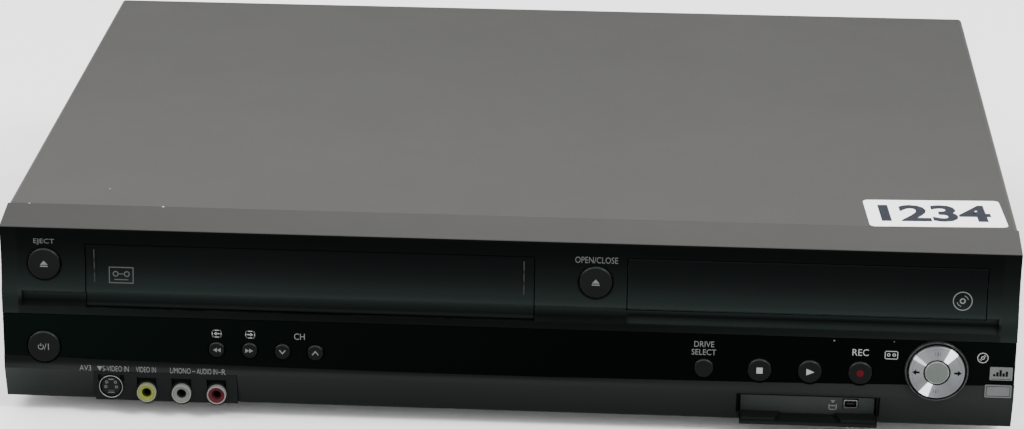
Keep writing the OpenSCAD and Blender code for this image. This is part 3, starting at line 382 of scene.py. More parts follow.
# darker copies of the jack colours for the contacts down the bores: painted shade
M["bore_yellow"] = surface("bore_yellow", (0.010, 0.0105, 0.002), rough=0.4, spec=0.06, grain=1800)
M["bore_white"] = surface("bore_white", (0.006, 0.0065, 0.0055), rough=0.4, spec=0.06, grain=1800)
M["bore_red"] = surface("bore_red", (0.014, 0.0022, 0.0035), rough=0.4, spec=0.06, grain=1800)
M["rim_yellow"] = surface("rim_yellow", (0.11, 0.118, 0.0782), rough=0.5, spec=0.06, var=0.1, var_scale=300, grain=1800, grain_bump=0.15)
M["rim_white"] = surface("rim_white", (0.105, 0.11, 0.101), rough=0.5, spec=0.06, var=0.1, var_scale=300, grain=1800, grain_bump=0.15)
M["rim_red"] = surface("rim_red", (0.11, 0.101, 0.09656), rough=0.5, spec=0.06, var=0.1, var_scale=300, grain=1800, grain_bump=0.15)
M["jack_white"] = surface("jack_white", (0.084, 0.088, 0.080), rough=0.5, spec=0.06, var=0.08, var_scale=300, grain=1800, grain_bump=0.15, edge=(0.107, 0.107, 0.102), edge_amt=0.4)
M["jack_red"] = surface("jack_red", (0.043, 0.0060, 0.0088), rough=0.5, spec=0.06, var=0.12, var_scale=300, grain=1800, grain_bump=0.15, edge=(0.07, 0.012, 0.018), edge_amt=0.4)
M["silver_foil"] = surface("silver_foil", (0.0702, 0.072, 0.072), rough=0.4, metal=0.7, spec=0.3, var=0.1, var_scale=150, grain=1600, grain_bump=0.1,
                           edge=(0.101, 0.101, 0.101), edge_amt=0.5, rough_var=0.08)
M["silver_dim"] = surface("silver_dim", (0.06447, 0.06826, 0.06826), rough=0.42, metal=0.6, spec=0.3, var=0.12, var_scale=150, grain=1600, grain_bump=0.1,
                          edge=(0.133, 0.136, 0.136), edge_amt=0.5, rough_var=0.08)
M["label_paper"] = surface("label_paper", (0.90, 0.90, 0.92), rough=0.62, spec=0.2, var=0.02, var_scale=70, grain=1100, grain_bump=0.2,
                           grain_dist=0.00004, edge=(0.238, 0.238, 0.238), edge_amt=0.4)
M["board_brown"] = surface("board_brown", (0.21, 0.13, 0.05), rough=0.5, var=0.12, var_scale=50, grain=900, grain_bump=0.15, edge=(0.4, 0.3, 0.15))
M["board_green"] = surface("board_green", (0.012, 0.09, 0.03), rough=0.38, var=0.15, var_scale=60, grain=900, grain_bump=0.15, edge=(0.2, 0.3, 0.15))
M["inlet_plastic"] = surface("inlet_plastic", (0.0078, 0.0078, 0.0081), rough=0.45, spec=0.15, var=0.1, var_scale=40, grain=1700, grain_bump=0.25,
                             grain_dist=0.00005, edge=(0.042, 0.042, 0.042), edge_amt=0.5)
M["fan_plastic"] = surface("fan_plastic", (0.0072, 0.0072, 0.0075), rough=0.4, spec=0.15, grain=1500, grain_bump=0.2, edge=(0.036, 0.036, 0.036))
M["deck_metal"] = surface("deck_metal", (0.33, 0.338, 0.338), rough=0.36, metal=1.0, var=0.1, var_scale=45, grain=600, grain_bump=0.1, edge=(0.525, 0.525, 0.525), rough_var=0.08)
M["slider_plastic"] = surface("slider_plastic", (0.018, 0.0192, 0.0204), rough=0.5, grain=1500, grain_bump=0.2, edge=(0.06, 0.06, 0.06), spec=0.15)
M["basket_metal"] = surface("basket_metal", (0.3, 0.307, 0.315), rough=0.33, metal=1.0, var=0.1, var_scale=40, grain=700, grain_bump=0.08, edge=(0.525, 0.525, 0.525))
M["shaft_steel"] = surface("shaft_steel", (0.45, 0.45, 0.458), rough=0.16, metal=1.0, var=0.06, var_scale=90, grain=1200, grain_bump=0.05, edge=(0.6, 0.6, 0.6))
M["roller_rubber"] = surface("roller_rubber", (0.02, 0.02, 0.02), rough=0.75, spec=0.3, grain=1000, grain_bump=0.35, grain_dist=0.00008, edge=(0.05, 0.05, 0.05))
M["reel_plastic"] = surface("reel_plastic", (0.36, 0.348, 0.3), rough=0.42, var=0.06, grain=1600, grain_bump=0.15, edge=(0.45, 0.444, 0.408))
M["drive_plastic"] = surface("drive_plastic", (0.0132, 0.0132, 0.0138), rough=0.52, grain=1400, grain_bump=0.3, grain_dist=0.00006, edge=(0.048, 0.048, 0.048), spec=0.15)
M["traverse_metal"] = surface("traverse_metal", (0.27, 0.277, 0.285), rough=0.38, metal=1.0, var=0.1, var_scale=60, grain=700, grain_bump=0.1, edge=(0.45, 0.45, 0.45))
M["spindle_plastic"] = surface("spindle_plastic", (0.294, 0.301, 0.308), rough=0.4, var=0.08, var_scale=120, grain=1500, grain_bump=0.15, edge=(0.42, 0.42, 0.42))
M["sled_metal"] = surface("sled_metal", (0.5, 0.42, 0.32), rough=0.36, metal=0.9, var=0.1, var_scale=100, grain=1200, grain_bump=0.12, edge=(0.7, 0.65, 0.55))
M["gear_plastic"] = surface("gear_plastic", (0.396, 0.384, 0.324), rough=0.4, var=0.05, grain=1500, grain_bump=0.12, edge=(0.48, 0.468, 0.42))
M["clamp_plastic"] = surface("clamp_plastic", (0.33, 0.324, 0.3), rough=0.42, var=0.05, grain=1500, grain_bump=0.12, edge=(0.45, 0.444, 0.42))
M["print_grey"] = surface("print_grey", (0.07854, 0.08316, 0.08085), rough=0.55, spec=0.1, var=0.12, var_scale=400, grain=2500, grain_bump=0.05)
M["print_light"] = surface("print_light", (0.17, 0.177, 0.172), rough=0.55, spec=0.1, var=0.1, var_scale=400, grain=2500, grain_bump=0.05)
M["painted_shade_black"] = surface("painted_shade_black", (0.0009, 0.0012, 0.0011), rough=0.6, spec=0.004, var=0.1, var_scale=60, grain=2200, grain_bump=0.1)
M["side_plastic"] = surface("side_plastic", (0.0062, 0.0074, 0.0071), rough=0.42, spec=0.03, var=0.08, var_scale=12, grain=2200, grain_bump=0.16, edge=(0.0125, 0.0142, 0.0137), edge_amt=0.3)
M["print_mid"] = surface("print_mid", (0.052, 0.055, 0.054), rough=0.55, spec=0.1, var=0.1, var_scale=400, grain=2500, grain_bump=0.05)
M["rib_painted_highlight"] = surface("rib_painted_highlight", (0.01368, 0.01548, 0.01476), rough=0.3, spec=0.03, var=0.1, var_scale=60, grain=2200, grain_bump=0.1)
M["print_dim"] = surface("print_dim", (0.03269, 0.03538, 0.03462), rough=0.55, spec=0.1, var=0.1, var_scale=400, grain=2500, grain_bump=0.05)
M["print_red"] = surface("print_red", (0.042, 0.0008, 0.0026), rough=0.5, spec=0.05, var=0.1, var_scale=400, grain=2500, grain_bump=0.05)
M["print_black"] = surface("print_black", (0.00185, 0.00185, 0.00185), rough=0.55, spec=0.02, var=0.1, var_scale=400, grain=2500, grain_bump=0.05)
M["print_blue"] = surface("print_blue", (0.0085, 0.0105, 0.0185), rough=0.55, spec=0.05, var=0.1, var_scale=300, grain=2500, grain_bump=0.05)
M["paint_chip"] = surface("paint_chip", (0.62, 0.62, 0.60), rough=0.5, metal=0.3, var=0.15, var_scale=900, grain=2500, grain_bump=0.2)
M["contact_gold"] = surface("contact_gold", (0.72, 0.55, 0.28), rough=0.28, metal=1.0, var=0.1, var_scale=300, grain=1500, grain_bump=0.05)
# black of chips, sockets and bore floors, also laid as painted shade on the walls of the flap's recess and in the
# S-video pin holes
M["black_parts_and_painted_shade"] = surface("black_parts_and_painted_shade", (0.0084, 0.0084, 0.009), rough=0.45, grain=1400, grain_bump=0.25, grain_dist=0.00004, edge=(0.036, 0.036, 0.036), spec=0.15)
M["can_blue"] = surface("can_blue", (0.02, 0.03, 0.07), rough=0.35, var=0.1, grain=900, grain_bump=0.08, edge=(0.1, 0.12, 0.18))
M["heat_sink"] = surface("heat_sink", (0.375, 0.375, 0.383), rough=0.4, metal=1.0, var=0.1, var_scale=90, grain=900, grain_bump=0.1, edge=(0.525, 0.525, 0.525))
M["copper"] = surface("copper", (0.62, 0.26, 0.11), rough=0.35, metal=1.0, var=0.1, var_scale=120, grain=500, grain_bump=0.2, stretch=(1, 1, 6))


def spun_aluminium(name):
    """Face of the selector ring: fine turned grooves round its centre, with fan-shaped highlight wedges of spun metal
    painted into its colour.
    """
    n = NT(name)
    n.set(metal=1.0)
    m = n.t.nodes.new("ShaderNodeMapping")
    m.inputs["Location"].default_value = (-0.1822, 0, -0.0336)
    n.link(n.tc.outputs["Object"], m.inputs["Vector"])
    sep = n.t.nodes.new("ShaderNodeSeparateXYZ")
    n.link(m.outputs[0], sep.inputs[0])
    r = n.math("SQRT", n.math("ADD", n.math("POWER", sep.outputs[0], 2), n.math("POWER", sep.outputs[2], 2)), 0.5)
    turn = n.math("MULTIPLY", n.math("ARCTAN2", sep.outputs[2], sep.outputs[0]), 180 / math.pi)
    wobble = n.math("MULTIPLY", n.math("SUBTRACT", n.noise(900, 3, 0.6), 0.5), 1.2)
    turn = n.math("ADD", turn, wobble)
    # painted highlight: bright wedges at fixed angles round the ring, drawn into the base colour
    wedge_highlight = n.ramp(turn, [(-180, 0.125), (-150, 0.105), (-130, 0.12), (-128, 0.95), (-108, 1.0), (-106, 0.14), (-80, 0.11), (-45, 0.092), (-15, 0.11), (20, 0.115),
                        (42, 0.13), (44, 1.0), (62, 1.0), (64, 0.15), (88, 0.115), (112, 0.125), (139, 0.15), (141, 0.5), (149, 0.5), (151, 0.14), (165, 0.125), (180, 0.125)])
    wedge_highlight = n.math("MINIMUM", n.math("MULTIPLY", wedge_highlight, 1.16), 1.0)
    comb = n.t.nodes.new("ShaderNodeCombineXYZ")
    n.link(n.math("MULTIPLY", r, 5200), comb.inputs[0])
    groove = n.noise(1.0, 2, 0.6, vec=comb.outputs[0])
    col = n.mix(n.remap(groove, 0.3, 0.7, 0, 1), (0.74, 0.79, 0.84), (0.95, 0.98, 1.0))
    n.link(n.times(col, wedge_highlight), n.b.inputs["Base Color"])
    n.link(n.remap(groove, 0.3, 0.7, 0.42, 0.54), n.b.inputs["Roughness"])
    tan = n.t.nodes.new("ShaderNodeTangent")
    tan.direction_type = "RADIAL"
    tan.axis = "Y"
    n.link(tan.outputs[0], n.b.inputs["Tangent"])
    n.b.inputs["Anisotropic"].default_value = 0.55
    n.b.inputs["Anisotropic Rotation"].default_value = 0.25
    n.link(n.bump(groove, 0.3, 0.00003), n.b.inputs["Normal"])
    return n.m


M["ring_metal"] = spun_aluminium("ring_metal")


def glassy(name):
    n = NT(name)
    n.set(trans=0.0, ior=1.5, spec=0.6, coat=0.6, coat_rough=0.05)
    col = n.mix(n.remap(n.noise(90, 4, 0.6), 0.3, 0.7, 0, 1), (0.012, 0.03, 0.026), (0.02, 0.045, 0.04))
    n.link(col, n.b.inputs["Base Color"])
    n.link(n.remap(n.noise(60, 4, 0.6), 0.3, 0.7, 0.06, 0.14), n.b.inputs["Roughness"])
    n.link(n.bump(n.noise(300, 3, 0.5), 0.05, 0.00003), n.b.inputs["Normal"])
    return n.m


M["tube_glass"] = glassy("tube_glass")
M["drum_metal"] = surface("drum_metal", (0.495, 0.503, 0.51), rough=0.12, metal=1.0, var=0.04, var_scale=60, grain=700, grain_bump=0.05,
                          edge=(0.637, 0.637, 0.637), rough_var=0.04, stretch=(0.1, 0.1, 8))

# ---------------------------------------------------------------- mesh tools


def finish_mesh(ob, angle=32):
    me = ob.data
    me.shade_smooth()
    me.set_sharp_from_angle(angle=math.radians(angle))
    return ob


def true_flats(ob):
    """Corner normals follow the larger of the smooth faces that meet, so a flat sheet stays flat between its rounded edges."""
    me = ob.data
    normals = [Vector(p.normal) for p in me.polygons]
    areas = [p.area for p in me.polygons]
    faces_of = {}
    for p in me.polygons:
        for li in p.loop_indices:
            faces_of.setdefault(me.loops[li].edge_index, []).append(p.index)
    sharp = {e.index for e in me.edges if e.use_edge_sharp}
    corner = {}
    for p in me.polygons:
        for li in p.loop_indices:
            corner[(p.index, me.loops[li].vertex_index)] = li
    edges_at = {}
    for e in me.edges:
        for v in e.vertices:
            edges_at.setdefault(v, []).append(e.index)
    out = [Vector((0, 0, 1))] * len(me.loops)
    around = {}
    for (f, v), li in corner.items():
        around.setdefault(v, []).append(f)
    for v, fs in around.items():
        root = {f: f for f in fs}

        def find(f):
            while root[f] != f:
                f = root[f]
            return f
        for ei in edges_at.get(v, ()):
            pair = faces_of.get(ei, ())
            if ei in sharp or len(pair) != 2:
                continue
            a, b = find(pair[0]), find(pair[1])
            if a != b:
                root[a] = b
        total = {}
        for f in fs:
            r = find(f)
            total[r] = total.get(r, Vector((0, 0, 0))) + normals[f] * areas[f]
        for f in fs:
            t = total[find(f)]
            out[corner[(f, v)]] = t.normalized() if t.length > 1e-14 else normals[f]
    me.normals_split_custom_set([tuple(n) for n in out])
    return ob


def new_object(name, bm, mat, body, smooth=32):
    bmesh.ops.recalc_face_normals(bm, faces=bm.faces)
    me = bpy.data.meshes.new(name)
    bm.to_mesh(me)
    bm.free()
    ob = bpy.data.objects.new(name, me)
    bpy.context.scene.collection.objects.link(ob)
    for m in mat if isinstance(mat, (list, tuple)) else [mat]:
        me.materials.append(M[m] if isinstance(m, str) else m)
    if "edge" not in me.attributes:
        me.attributes.new("edge", "FLOAT", "FACE")
    finish_mesh(ob, smooth)
    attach(ob, body)
    return ob


def mark_edges(bm, faces):
    lay = bm.faces.layers.float.get("edge") or bm.faces.layers.float.new("edge")
    for f in faces:
        if f.is_valid:
            f[lay] = 1.0


def soften(bm, width, seg=2, angle=26, limit=None):
    """Rounds the sharp edges of a mesh by width in mm, and marks the new faces as rubbed edges."""
    bmesh.ops.remove_doubles(bm, verts=bm.verts, dist=3e-6)
    bmesh.ops.dissolve_limit(bm, angle_limit=math.radians(0.6), verts=bm.verts, edges=bm.edges, delimit={"NORMAL"})
    lay = bm.faces.layers.float.get("edge") or bm.faces.layers.float.new("edge")
    es = [e for e in bm.edges if len(e.link_faces) == 2 and e.calc_face_angle(0) > math.radians(angle) and (limit is None or limit(e))]
    if es and width > 0:
        r = bmesh.ops.bevel(bm, geom=es, offset=width / 1000, offset_type="OFFSET", segments=seg, profile=0.5, affect="EDGES",
                            clamp_overlap=True, material=-1, harden_normals=False, miter_outer="SHARP", miter_inner="SHARP")
        mark_edges(bm, r["faces"])
    return bm


def stand_in(node, width=0.2, seg=2, angle=26, mat=None, name=None, limit=None, smooth=32):
    """A finished copy of a CAD node, with its edges rounded."""
    src = frame["nodes"][node]
    bm = bmesh.new()
    bm.from_mesh(src.data)
    bm.transform(src.matrix_world)
    soften(bm, width, seg, angle, limit)
    ob = new_object(name or node + "_skin", bm, mat or SLOT[node], BODY[node], smooth)
    true_flats(ob)
    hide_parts(node)
    return ob


def lathe(profile, seg=96, edge_from=None):
    """Turns a closed or open outline of (radius, height) points in mm round the Z axis. Points at radius 0 become poles."""
    bm = bmesh.new()
    rings = []
    for r, h in profile:
        if r < 1e-6:
            rings.append([bm.verts.new((0, 0, h / 1000))])
        else:
            rings.append([bm.verts.new((r / 1000 * math.cos(2 * math.pi * i / seg), r / 1000 * math.sin(2 * math.pi * i / seg), h / 1000)) for i in range(seg)])
    for a, b in zip(rings, rings[1:]):
        for i in range(seg):
            j = (i + 1) % seg
            if len(a) == 1 and len(b) == 1:
                continue
            if len(a) == 1:
                bm.faces.new((a[0], b[i], b[j]))
            elif len(b) == 1:
                bm.faces.new((a[i], b[0], a[j]))
            else:
                bm.faces.new((a[i], b[i], b[j], a[j]))
    return bm


def rounded(points, width=0.2, n=4):
    """Rounds the corners of an outline of (r, h) points by about width."""
    out = [points[0]]
    for p, q, s in zip(points, points[1:], points[2:]):
        a, b = Vector(p) - Vector(q), Vector(s) - Vector(q)
        w = min(width, a.length * 0.45, b.length * 0.45)
        if a.length < 1e-9 or b.length < 1e-9 or a.angle(b) > math.radians(165):
            out.append(q)
            continue
        p0, p1 = Vector(q) + a.normalized() * w, Vector(q) + b.normalized() * w
        for i in range(n + 1):
            t = i / n
            c = p0 * (1 - t) ** 2 + Vector(q) * 2 * t * (1 - t) + p1 * t * t
            out.append((c.x, c.y))
    out.append(points[-1])
    return out


def bm_box(bm, a, b):
    """Adds a box from a to b, given in mm from the fascia's front and the table."""
    p, q = V(*a), V(*b)
    vs = [bm.verts.new((x, y, z)) for x in (p.x, q.x) for y in (p.y, q.y) for z in (p.z, q.z)]
    for f in ((0, 1, 3, 2), (4, 6, 7, 5), (0, 4, 5, 1), (2, 3, 7, 6), (0, 2, 6, 4), (1, 5, 7, 3)):
        bm.faces.new([vs[i] for i in f])
    return vs


FACE_FRONT = Matrix(((1, 0, 0), (0, 0, -1), (0, 1, 0))).to_4x4()  # flat drawing in x, z, seen from the front
FACE_BACK = Matrix(((-1, 0, 0), (0, 0, 1), (0, 1, 0))).to_4x4()  # the same, seen from the rear


def put(bm, x, y, z, face=FACE_FRONT):
    bm.transform(Matrix.Translation(V(x, y, z)) @ face)
    return bm


def flat_shape(outlines, thick=0.04):
    """Thin plates of outline points in mm, in x and y, raised along z."""
    bm = bmesh.new()
    for pts in outlines:
        vs = [bm.verts.new((x / 1000, y / 1000, 0)) for x, y in pts]
        f = bm.faces.new(vs)
        f.normal_update()
        if f.normal.z < 0:
            f.normal_flip()
        g = bmesh.ops.extrude_face_region(bm, geom=[f])
        bmesh.ops.translate(bm, verts=[v for v in g["geom"] if isinstance(v, bmesh.types.BMVert)], vec=(0, 0, thick / 1000))
    return bm


def ring_shape(r0, r1, a0=0, a1=360, n=48, cx=0, cy=0):
    """Outlines of a ring or arc as short quads."""
    out = []
    for i in range(n):
        t0, t1 = math.radians(a0 + (a1 - a0) * i / n), math.radians(a0 + (a1 - a0) * (i + 1) / n)
        out.append([(cx + r0 * math.cos(t0), cy + r0 * math.sin(t0)), (cx + r1 * math.cos(t0), cy + r1 * math.sin(t0)),
                    (cx + r1 * math.cos(t1), cy + r1 * math.sin(t1)), (cx + r0 * math.cos(t1), cy + r0 * math.sin(t1))])
    return out


def strip(points, w):
    """Outlines of a line of width w through points."""
    out = []
    for (x0, y0), (x1, y1) in zip(points, points[1:]):
        d = Vector((x1 - x0, y1 - y0)).normalized()
        nx, ny = -d.y * w / 2, d.x * w / 2
        ex, ey = d.x * w / 2, d.y * w / 2
        out.append([(x0 - ex + nx, y0 - ey + ny), (x0 - ex - nx, y0 - ey - ny), (x1 + ex - nx, y1 + ey - ny), (x1 + ex + nx, y1 + ey + ny)])
    return out


def text_bm(words, width=None, height=None, bold=0.0, thick=0.04, space=1.0, widen=None):
    """Plain lettering as a thin mesh centred on its own middle, scaled to width or height in mm."""
    cu = bpy.data.curves.new("lettering", "FONT")
    cu.body = words
    cu.align_x = "CENTER"
    cu.align_y = "CENTER"
    cu.size = 1.0
    cu.offset = bold
    cu.space_character = space
    cu.resolution_u = 3
    tmp = bpy.data.objects.new("lettering", cu)
    bpy.context.scene.collection.objects.link(tmp)
    bpy.context.view_layer.update()
    me = tmp.to_mesh()
    bm = bmesh.new()
    bm.from_mesh(me)
    tmp.to_mesh_clear()
    bpy.data.objects.remove(tmp)
    bpy.data.curves.remove(cu)
    bmesh.ops.remove_doubles(bm, verts=bm.verts, dist=1e-5)
    xs, ys = [v.co.x for v in bm.verts], [v.co.y for v in bm.verts]
    cx, cy = (min(xs) + max(xs)) / 2, (min(ys) + max(ys)) / 2
    w0, h0 = max(xs) - min(xs), max(ys) - min(ys)
    sx = (width / w0) if width else height / h0
    sy = (height / h0) if height else sx
    if not width:
        sx = sy
    for v in bm.verts:
        v.co = Vector(((v.co.x - cx) * sx / 1000, (v.co.y - cy) * sy / 1000, 0))
    for f in bm.faces:
        f.normal_update()
        if f.normal.z < 0:
            f.normal_flip()
    g = bmesh.ops.extrude_face_region(bm, geom=list(bm.faces))
    bmesh.ops.translate(bm, verts=[v for v in g["geom"] if isinstance(v, bmesh.types.BMVert)], vec=(0, 0, thick / 1000))
    return bm


def lerp_profile(pts, z):
    for (y0, z0), (y1, z1) in zip(pts, pts[1:]):
        if min(z0, z1) <= z <= max(z0, z1) and z0 != z1:
            return y0 + (y1 - y0) * (z - z0) / (z1 - z0)
    return pts[-1][0]


FASCIA = [(0.7, 86.25), (0.25, 86.05), (0, 85.6), (0.5, 83.6), (1.1, 79), (1.45, 74), (1.5, 69), (1.2, 64), (0.75, 60.5), (0.3, 58.6), (0.05, 58.0), (0, 57.4)]
DOOR = [(1.65, 78.4), (1.9, 74), (1.95, 69), (1.65, 64), (1.15, 60.4), (0.75, 58.7), (0.6, 58.0)]
TRAY = [(1.3, 79.1), (1.5, 74), (1.5, 69), (1.2, 64), (0.75, 60.6), (0.3, 58.7), (0.1, 58.0)]
CHAMFER = [(0, 21.6), (0.1, 21.1), (4.2, 7.5)]


def lay_on(bm, surface_y, sink=0.0):
    """Shifts each point of a front-facing drawing onto a curved front, given as y against z in mm."""
    for v in bm.verts:
        z = v.co.z * 1000
        v.co.y += (surface_y(z) + sink) / 1000
    return bm


_count = {}


def decal(bm, mat, body="case", tag="mark"):
    _count[tag] = _count.get(tag, 0) + 1
    return new_object("%s_%02d" % (tag, _count[tag]), bm, mat, body, smooth=20)

# ---------------------------------------------------------------- case and fascia

stand_in("top_cover", 0.25, 2)
stand_in("cover_screws", 0.12, 2)
stand_in("chassis_base", 0.2, 1)
stand_in("rear_panel", 0.15, 2)
upper = stand_in("front_fascia", 0.22, 3)
# upward-facing faces of the top lip take the lighter copy: painted light from above
upper.data.materials.append(M["lip_painted_light"])
for p in upper.data.polygons:
    if p.normal.z > 0.62 and p.center.z > 0.0858:
        p.material_index = 1
upper.data.materials.append(M["side_plastic"])
for p in upper.data.polygons:
    if abs(p.normal.x) > 0.8 and abs(p.center.x) > 0.2135:
        p.material_index = 2
low = stand_in("lower_fascia", 0.22, 3)
low.data.materials.append(M["black_parts_and_painted_shade"])
low.data.materials.append(M["side_plastic"])
# painted shade: the side and top walls of the recess behind the flap take the darker black
for p in low.data.polygons:
    c = p.center * 1000
    if 99.0 < c.x < 159.4 and 8.0 < c.z < 20.2 and c.y < 7.2 - MID and (abs(p.normal.x) > 0.6 or abs(p.normal.z) > 0.6):
        p.material_index = 1
    elif abs(p.normal.x) > 0.8 and abs(c.x) > 213.5:
        p.material_index = 2
stand_in("display_window", 0.16, 2)
door = stand_in("cassette_door", 0.2, 3)
for v in door.data.vertices:
    if v.co.x * 1000 > 14.3 and v.co.z > 0.05:
        v.co.x -= 0.0003
    elif v.co.x * 1000 < -180.6 and v.co.z > 0.05:
        v.co.x += 0.0003
stand_in("tray_front", 0.22, 3)
stand_in("disc_tray", 0.3, 2)
stand_in("input_flap", 0.16, 2)
panel = stand_in("input_panel", 0.12, 2)
px0, px1 = min(v.co.x for v in panel.data.vertices), max(v.co.x for v in panel.data.vertices)
for v in panel.data.vertices:
    v.co.x += -0.00022 if v.co.x < px0 + 0.0006 else (0.00022 if v.co.x > px1 - 0.0006 else 0)
dv = stand_in("dv_socket", 0.08, 2)
dv.data.materials.append(M["black_parts_and_painted_shade"])
for p in dv.data.polygons:
    c = p.center * 1000
    if abs(c.x - 147.5) < 2.42 and abs(c.z - 14.1) < 1.42 and c.y > 6.75 - MID:
        p.material_index = 1
bm = bmesh.new()
bm_box(bm, (145.9, 7.4, 13.5), (149.1, 10.2, 14.3))
bm_box(bm, (146.1, 7.3, 14.28), (146.5, 9.8, 14.5))
bm_box(bm, (147.1, 7.3, 14.28), (147.5, 9.8, 14.5))
bm_box(bm, (148.1, 7.3, 14.28), (148.5, 9.8, 14.5))
soften(bm, 0.08, 2)
new_object("dv_tongue", bm, "drive_plastic", "case")
plates = stand_in("silver_plates", 0.1, 2)
plates.data.materials.append(M["silver_dim"])
for p in plates.data.polygons:
    if p.center.z < 0.029:
        p.material_index = 1
stand_in("top_label", 0.0, 1)
stand_in("mains_inlet", 0.25, 2)
stand_in("scart_sockets", 0.15, 2)
stand_in("fan_housing", 0.25, 2)
stand_in("fan_rotor", 0.15, 2)
for nd, w in (("deck_frame", 0.15), ("carriage_slider", 0.15), ("cassette_basket", 0.2), ("lower_drum", 0.2), ("upper_drum", 0.25),
              ("capstan", 0.15), ("pinch_arm", 0.15), ("supply_reel", 0.15), ("takeup_reel", 0.15), ("drive_frame", 0.25),
              ("traverse", 0.2), ("turntable", 0.2), ("pickup_sled", 0.2), ("tray_gear", 0.12), ("disc_clamp", 0.2), ("pinch_roller", 0.3),
              ("display_tube", 0.2)):
    stand_in(nd, w, 2)

# feet and their rubber pads, turned
for i, (x, y) in enumerate(((-178, 52), (178, 52), (-178, 296), (178, 296))):
    prof = rounded([(0, 3), (14, 3), (14, 1.2), (15.5, 1.2), (17.5, 2), (19.5, 7.0), (20, 7.6), (20, 7.95), (0, 7.95)], 0.5)
    bm = lathe(prof)
    bm.transform(Matrix.Translation(V(x, y, 0)))
    f = new_object("foot_%d" % i, bm, "foot_plastic", "case")
    prof = rounded([(0, 0), (4, 0), (4, 0.5), (5.2, 0.5), (5.2, 0), (9, 0), (9, 0.5), (10.2, 0.5), (10.2, 0), (13, 0), (13.6, 0.6), (13.6, 2.95), (0, 2.95)], 0.2)
    bm = lathe(prof)
    bm.transform(Matrix.Translation(V(x, y, 0)))
    p = new_object("foot_pad_%d" % i, bm, "foot_rubber", "case")
    if i == 0:
        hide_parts("feet")
        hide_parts("foot_pads")

# ---------------------------------------------------------------- push buttons

KEYS = {
    "eject_button": (-196.4, 69.4, 7.0, -0.3), "open_close_button": (38.3, 68.2, 7.0, -0.3), "power_button": (-197.4, 32.0, 7.0, 0.9),
    "rewind_button": (-122.8, 32.9, 3.4, 0.9), "forward_button": (-108.6, 33.0, 3.4, 0.9), "channel_down_button": (-94.5, 32.9, 3.4, 0.9),
    "channel_up_button": (-80.4, 32.8, 3.4, 0.9), "drive_select_button": (84.7, 31.4, 4.1, 0.9), "stop_button": (108.2, 31.2, 5.1, 0.9),
    "play_button": (129.3, 31.2, 5.1, 0.9), "record_button": (150.4, 31.3, 5.1, 0.9)}


def key_top(r, f, rho):
    """Height of a key's dished face at radius rho."""
    t = min(1.0, rho / (r * 0.84))
    return f - 0.34 * (1 - t * t)


for node, (x, z, r, f) in KEYS.items():
    prof = [(0, -9.6), (2, -9.6), (2, -6.2), (r + 0.9, -6.2), (r + 0.9, -5.0), (r, -5.0), (r, f - 0.75)]
    w = 0.75 if r > 4 else 0.6
    prof += [(r - w + w * math.cos(math.radians(a)), f - 0.75 + 0.75 * math.sin(math.radians(a))) for a in range(10, 91, 10)]
    prof += [(r * 0.84, key_top(r, f, r * 0.84))]
    prof += [(r * k, key_top(r, f, r * k)) for k in (0.76, 0.66, 0.54, 0.4, 0.26, 0.12)] + [(0, key_top(r, f, 0))]
    bm = lathe(prof, 96)
    lay = bm.faces.layers.float.new("edge")
    for fc in bm.faces:
        c = fc.calc_center_median()
        rho = math.hypot(c.x, c.y) * 1000
        if r * 0.86 < rho < r + 0.01 and c.z * 1000 > f - 0.6:
            fc[lay] = 1.0
    # height on the key face, by which the key's material paints its lower part darker as shade
    lay = bm.verts.layers.float.new("rise")
    for v in bm.verts:
        v[lay] = v.co.y * 1000 / r
    put(bm, x, 0, z)
    ob = new_object(node + "_skin", bm, "key_plastic", BODY[node], 40)
    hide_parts(node)
    # painted shade: a near-black rounded edge of the hole round the key, for the shadow in the gap
    c = lathe(rounded([(r + 0.36, -1.2), (r + 0.8, -1.2), (r + 0.8, 0.0), (r + 0.62, 0.06), (r + 0.42, -0.06), (r + 0.36, -0.3), (r + 0.36, -1.2)], 0.06), 72)
    bmesh.ops.remove_doubles(c, verts=c.verts, dist=1e-7)
    put(c, x, 0, z)
    if z > 50:
        lay_on(c, lambda q: lerp_profile(FASCIA, q), 0.0)
    new_object(node + "_rim", c, "painted_shade_black", "case", 40)


def key_mark(node, outlines, mat="print_light", dx=0.0, dz=0.0, thick=0.05):
    x, z, r, f = KEYS[node]
    bm = flat_shape(outlines, thick)
    bmesh.ops.translate(bm, verts=bm.verts, vec=(dx / 1000, dz / 1000, 0))
    for v in bm.verts:
        v.co.z += (key_top(r, f, math.hypot(v.co.x, v.co.y) * 1000) - 0.02) / 1000
    put(bm, x, 0, z)
    return decal(bm, mat, BODY[node], node.replace("_button", "_symbol"))


def eject_sign(s=1.0):
    return [[(-1.75 * s, -0.35 * s), (1.75 * s, -0.35 * s), (0, 1.6 * s)], [(-1.75 * s, -1.35 * s), (1.75 * s, -1.35 * s), (1.75 * s, -0.8 * s), (-1.75 * s, -0.8 * s)]]


key_mark("eject_button", eject_sign(0.95), "print_grey")
key_mark("open_close_button", eject_sign(0.95), "print_grey")
power = ring_shape(0.95, 1.28, 125, 415, 28, -1.35, -0.1) + strip([(-1.35, 0.35), (-1.35, 1.35)], 0.34)
power += strip([(0.15, -1.3), (0.95, 1.35)], 0.26) + strip([(1.95, -1.25), (1.95, 1.3)], 0.36)
key_mark("power_button", power, "print_grey")


def arrow(x, s, d):
    return [(x, -s), (x + d, 0), (x, s)] if d > 0 else [(x, -s), (x, s), (x + d, 0)]


